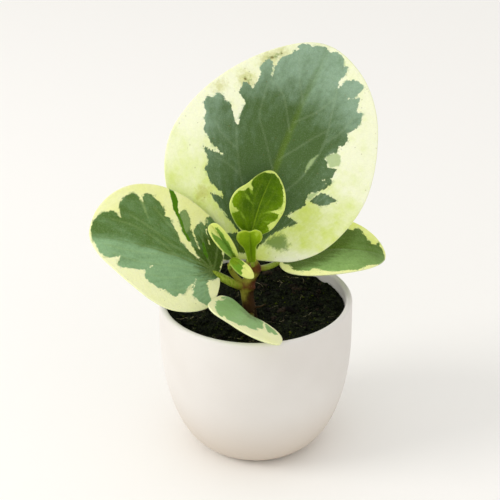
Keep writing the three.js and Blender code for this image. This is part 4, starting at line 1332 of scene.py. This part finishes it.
def icosahedron():
    golden = (1 + 5 ** 0.5) / 2
    corners = [(0, a, b * golden) for a in (-1, 1) for b in (-1, 1)]
    corners += [(a, b * golden, 0) for a in (-1, 1) for b in (-1, 1)]
    corners += [(b * golden, 0, a) for a in (-1, 1) for b in (-1, 1)]
    corners = np.array(corners, float)
    edge = 2.01  # a little more than the distance between neighbours
    joined = lambda i, j: np.linalg.norm(corners[i] - corners[j]) < edge
    faces = []
    for i, j, k in combinations(range(12), 3):
        if joined(i, j) and joined(j, k) and joined(i, k):
            outward = np.linalg.det(corners[[i, j, k]]) > 0
            faces.append((i, j, k) if outward else (i, k, j))
    return unit(corners), faces


def on_soil(random, reach):
    """A random place on the soil, clear of the stem."""
    foot = np.array(STEM["route"][1][:2])
    while True:
        place = random.uniform(-reach, reach, 2)
        if np.hypot(*place) < reach and np.hypot(*(place - foot)) > STEM["radius"] + SOIL["stem_room"]:
            return place


def scatter(name, material, *, count, sizes, stretch, lift, seed):
    """Many small irregular lumps that lie on the soil, half sunk into it."""
    random = np.random.default_rng(seed)
    ball, ball_faces = icosahedron()
    lumps, tint = [], []
    for _ in range(count):
        size = sizes[0] * (sizes[1] / sizes[0]) ** (random.random() ** 2)
        place = on_soil(random, POT["radius"] - POT["wall"] - SOIL["gap"] - size)
        axes = size * np.array([random.uniform(1, stretch), 1, random.uniform(0.5, 0.9)]) / 2
        lump = ball * axes * random.uniform(0.75, 1.2, (len(ball), 1))
        turn = np.array(Matrix.Rotation(random.uniform(0, 2 * math.pi), 3, "Z")
                        @ Matrix.Rotation(random.uniform(-0.7, 0.7), 3, "Y"))
        height = soil_height(*place) + lift * size
        lumps.append((lump @ turn.T + (*place, height), ball_faces))
        tint += [random.uniform(-0.5, 0.5)] * len(ball)
    return make_object(name, *together(lumps), material, {"shade": tint})


def make_fibres(name, material, *, count, seed):
    """Thin pale roots and peat fibres that lie on the soil in loose bends."""
    random = np.random.default_rng(seed)
    start_reach, full_reach = 33, 35.5  # from the middle of the pot
    rods, tint = [], []
    for _ in range(count):
        heading = random.uniform(0, 2 * math.pi)
        place = on_soil(random, start_reach)
        route = []
        for _ in range(5):
            route.append((*place, soil_height(*place) + random.uniform(0.1, 0.5)))
            heading += random.uniform(-0.7, 0.7)
            step = random.uniform(0.8, 2.2)
            place = place + step * np.array([math.cos(heading), math.sin(heading)])
            place *= min(1, full_reach / np.hypot(*place))
        thickness = random.uniform(0.08, 0.17)
        rod, rod_faces, _ = tube(route, lambda t: thickness * (1 - 0.6 * t), sides=5, steps=14)
        rods.append((rod, rod_faces))
        tint += [random.uniform(-0.5, 0.5)] * len(rod)
    return make_object(name, *together(rods), material, {"shade": tint})


# ------------------------------------------------------------------ stem


def stem_radius(t):
    swelling = sum(size * math.exp(-(((t - at) / STEM["node_spread"]) ** 2)) for at, size in STEM["nodes"])
    return STEM["radius"] + (STEM["tip_radius"] - STEM["radius"]) * smoothstep(0.8, 1, t) + swelling


def shoot_radius(t):
    return SHOOT["base_radius"] + (SHOOT["radius"] - SHOOT["base_radius"]) * min(1, 3 * t)


def stub_radius(t):
    return STUB["radius"] + (STUB["tip_radius"] - STUB["radius"]) * t


def make_stem(material):
    """Main stem, side shoot and dried scale, fused into one smooth body."""
    rods = [
        tube(STEM["route"], stem_radius, sides=28, steps=90),
        tube(SHOOT["route"], shoot_radius, sides=18, steps=36),
        tube(STUB["route"], stub_radius, sides=12, steps=16),
    ]
    stem = make_object("stem_body", *together([(rod, faces) for rod, faces, _ in rods]), material)
    voxel = 0.26
    remesh = stem.modifiers.new("fuse", "REMESH")
    remesh.mode = "VOXEL"
    remesh.voxel_size = voxel * MM
    soften = stem.modifiers.new("soften", "SMOOTH")
    soften.factor = 0.5
    soften.iterations = 6
    bake_modifiers(stem)
    stem.data.polygons.foreach_set("use_smooth", [True] * len(stem.data.polygons))
    return stem


def bake_modifiers(obj):
    """Replaces an object's mesh by what its modifiers make of it."""
    graph = bpy.context.evaluated_depsgraph_get()
    mesh = bpy.data.meshes.new_from_object(obj.evaluated_get(graph))
    obj.modifiers.clear()
    obj.data = mesh


# ------------------------------------------------------------------ stage


def make_camera():
    elevation, roll = math.radians(CAMERA["elevation"]), math.radians(CAMERA["roll"])
    forward = Vector((0, math.cos(elevation), -math.sin(elevation)))
    level = Vector((1, 0, 0))
    upright = level.cross(forward)
    right = math.cos(roll) * level + math.sin(roll) * upright
    up = math.cos(roll) * upright - math.sin(roll) * level
    camera = bpy.data.objects.new("camera", bpy.data.cameras.new("camera"))
    bpy.context.scene.collection.objects.link(camera)
    camera.data.lens = CAMERA["lens"]
    camera.data.clip_start, camera.data.clip_end = 0.01, 20
    place = Vector(CAMERA["target"]) * MM - forward * CAMERA["distance"] * MM
    axes = Matrix((right, up, -forward)).transposed()
    camera.matrix_world = Matrix.Translation(place) @ axes.to_4x4()
    bpy.context.scene.camera = camera


def make_lamp(name, place, aim, size, power, colour):
    lamp = bpy.data.lights.new(name, "AREA")
    lamp.shape = "DISK"
    lamp.size = size * MM
    lamp.energy = power
    lamp.color = colour
    obj = bpy.data.objects.new(name, lamp)
    bpy.context.scene.collection.objects.link(obj)
    obj.location = Vector(place) * MM
    obj.rotation_euler = (Vector(aim) - Vector(place)).to_track_quat("-Z", "Y").to_euler()


def make_stage():
    half = 4000
    floor = make_object("floor", [(-half, -half, 0), (half, -half, 0), (half, half, 0), (-half, half, 0)],
                        [(0, 1, 2, 3)], floor_material())
    world = bpy.data.worlds.new("studio")
    world.use_nodes = True
    background = world.node_tree.nodes["Background"]
    background.inputs["Color"].default_value = (1, 0.995, 0.985, 1)
    background.inputs["Strength"].default_value = 0.86
    bpy.context.scene.world = world
    plant = (0, 0, 90)
    make_lamp("window", (-1020, -260, 660), plant, size=620, power=5.6, colour=(1, 0.99, 0.975))
    make_lamp("fill", (700, -700, 500), plant, size=800, power=0.3, colour=(1, 0.97, 0.94))
    bpy.context.scene.view_settings.view_transform = "Standard"


# ------------------------------------------------------------------ assembly


def keep(piece, slot, *nodes):
    """Rides a piece on the part's body and hides the solids that it stands for; the slot is not used."""
    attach(piece, "root")
    if nodes:
        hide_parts(*nodes)


make_camera()
make_stage()

keep(make_pot(pot_material()), "pot", "pot")
# near-black: the peat's own dark colour darkened further by painted shade from the rim and the leaves
peat = soil_material("peat", shade(1, 2, 0), shade(52, 60, 34))
keep(make_soil_bed(peat), "soil", "soil")
crumbs = scatter("soil_crumbs", peat, count=1500, sizes=(0.5, 2.2), stretch=1.8, lift=0.05, seed=3)
keep(crumbs, "soil")
bark = soil_material("bark", shade(10, 8, 5), shade(70, 58, 44))
chips = scatter("soil_bark", bark, count=70, sizes=(1.6, 3.6), stretch=2.2, lift=0.0, seed=7)
keep(chips, "soil")
moss = soil_material("moss", shade(18, 28, 2), shade(84, 96, 10))
tufts = scatter("soil_moss", moss, count=420, sizes=(0.35, 1.3), stretch=1.6, lift=0.25, seed=11)
keep(tufts, "soil")
fibre = soil_material("root fibre", shade(50, 44, 30), shade(168, 160, 124))
keep(make_fibres("soil_fibres", fibre, count=70, seed=5), "soil")
keep(make_stem(stem_material()), "stem", "stem")

MATURE_LEAVES = ("leaf_back", "leaf_left", "leaf_right", "leaf_front")
for number, (name, leaf) in enumerate(LEAVES.items()):
    pattern_seed, swell_seed = 3.7 * number, 1.3 * number
    material = leaf_material(name.replace("_", " ") + " skin", PALETTES[name], leaf["tip"][1], pattern_seed)
    blade = make_blade(name + "_blade", leaf, ZONES[name], material, swell_seed)
    keep(blade, "leaf" if name in MATURE_LEAVES else "young_leaf", name)
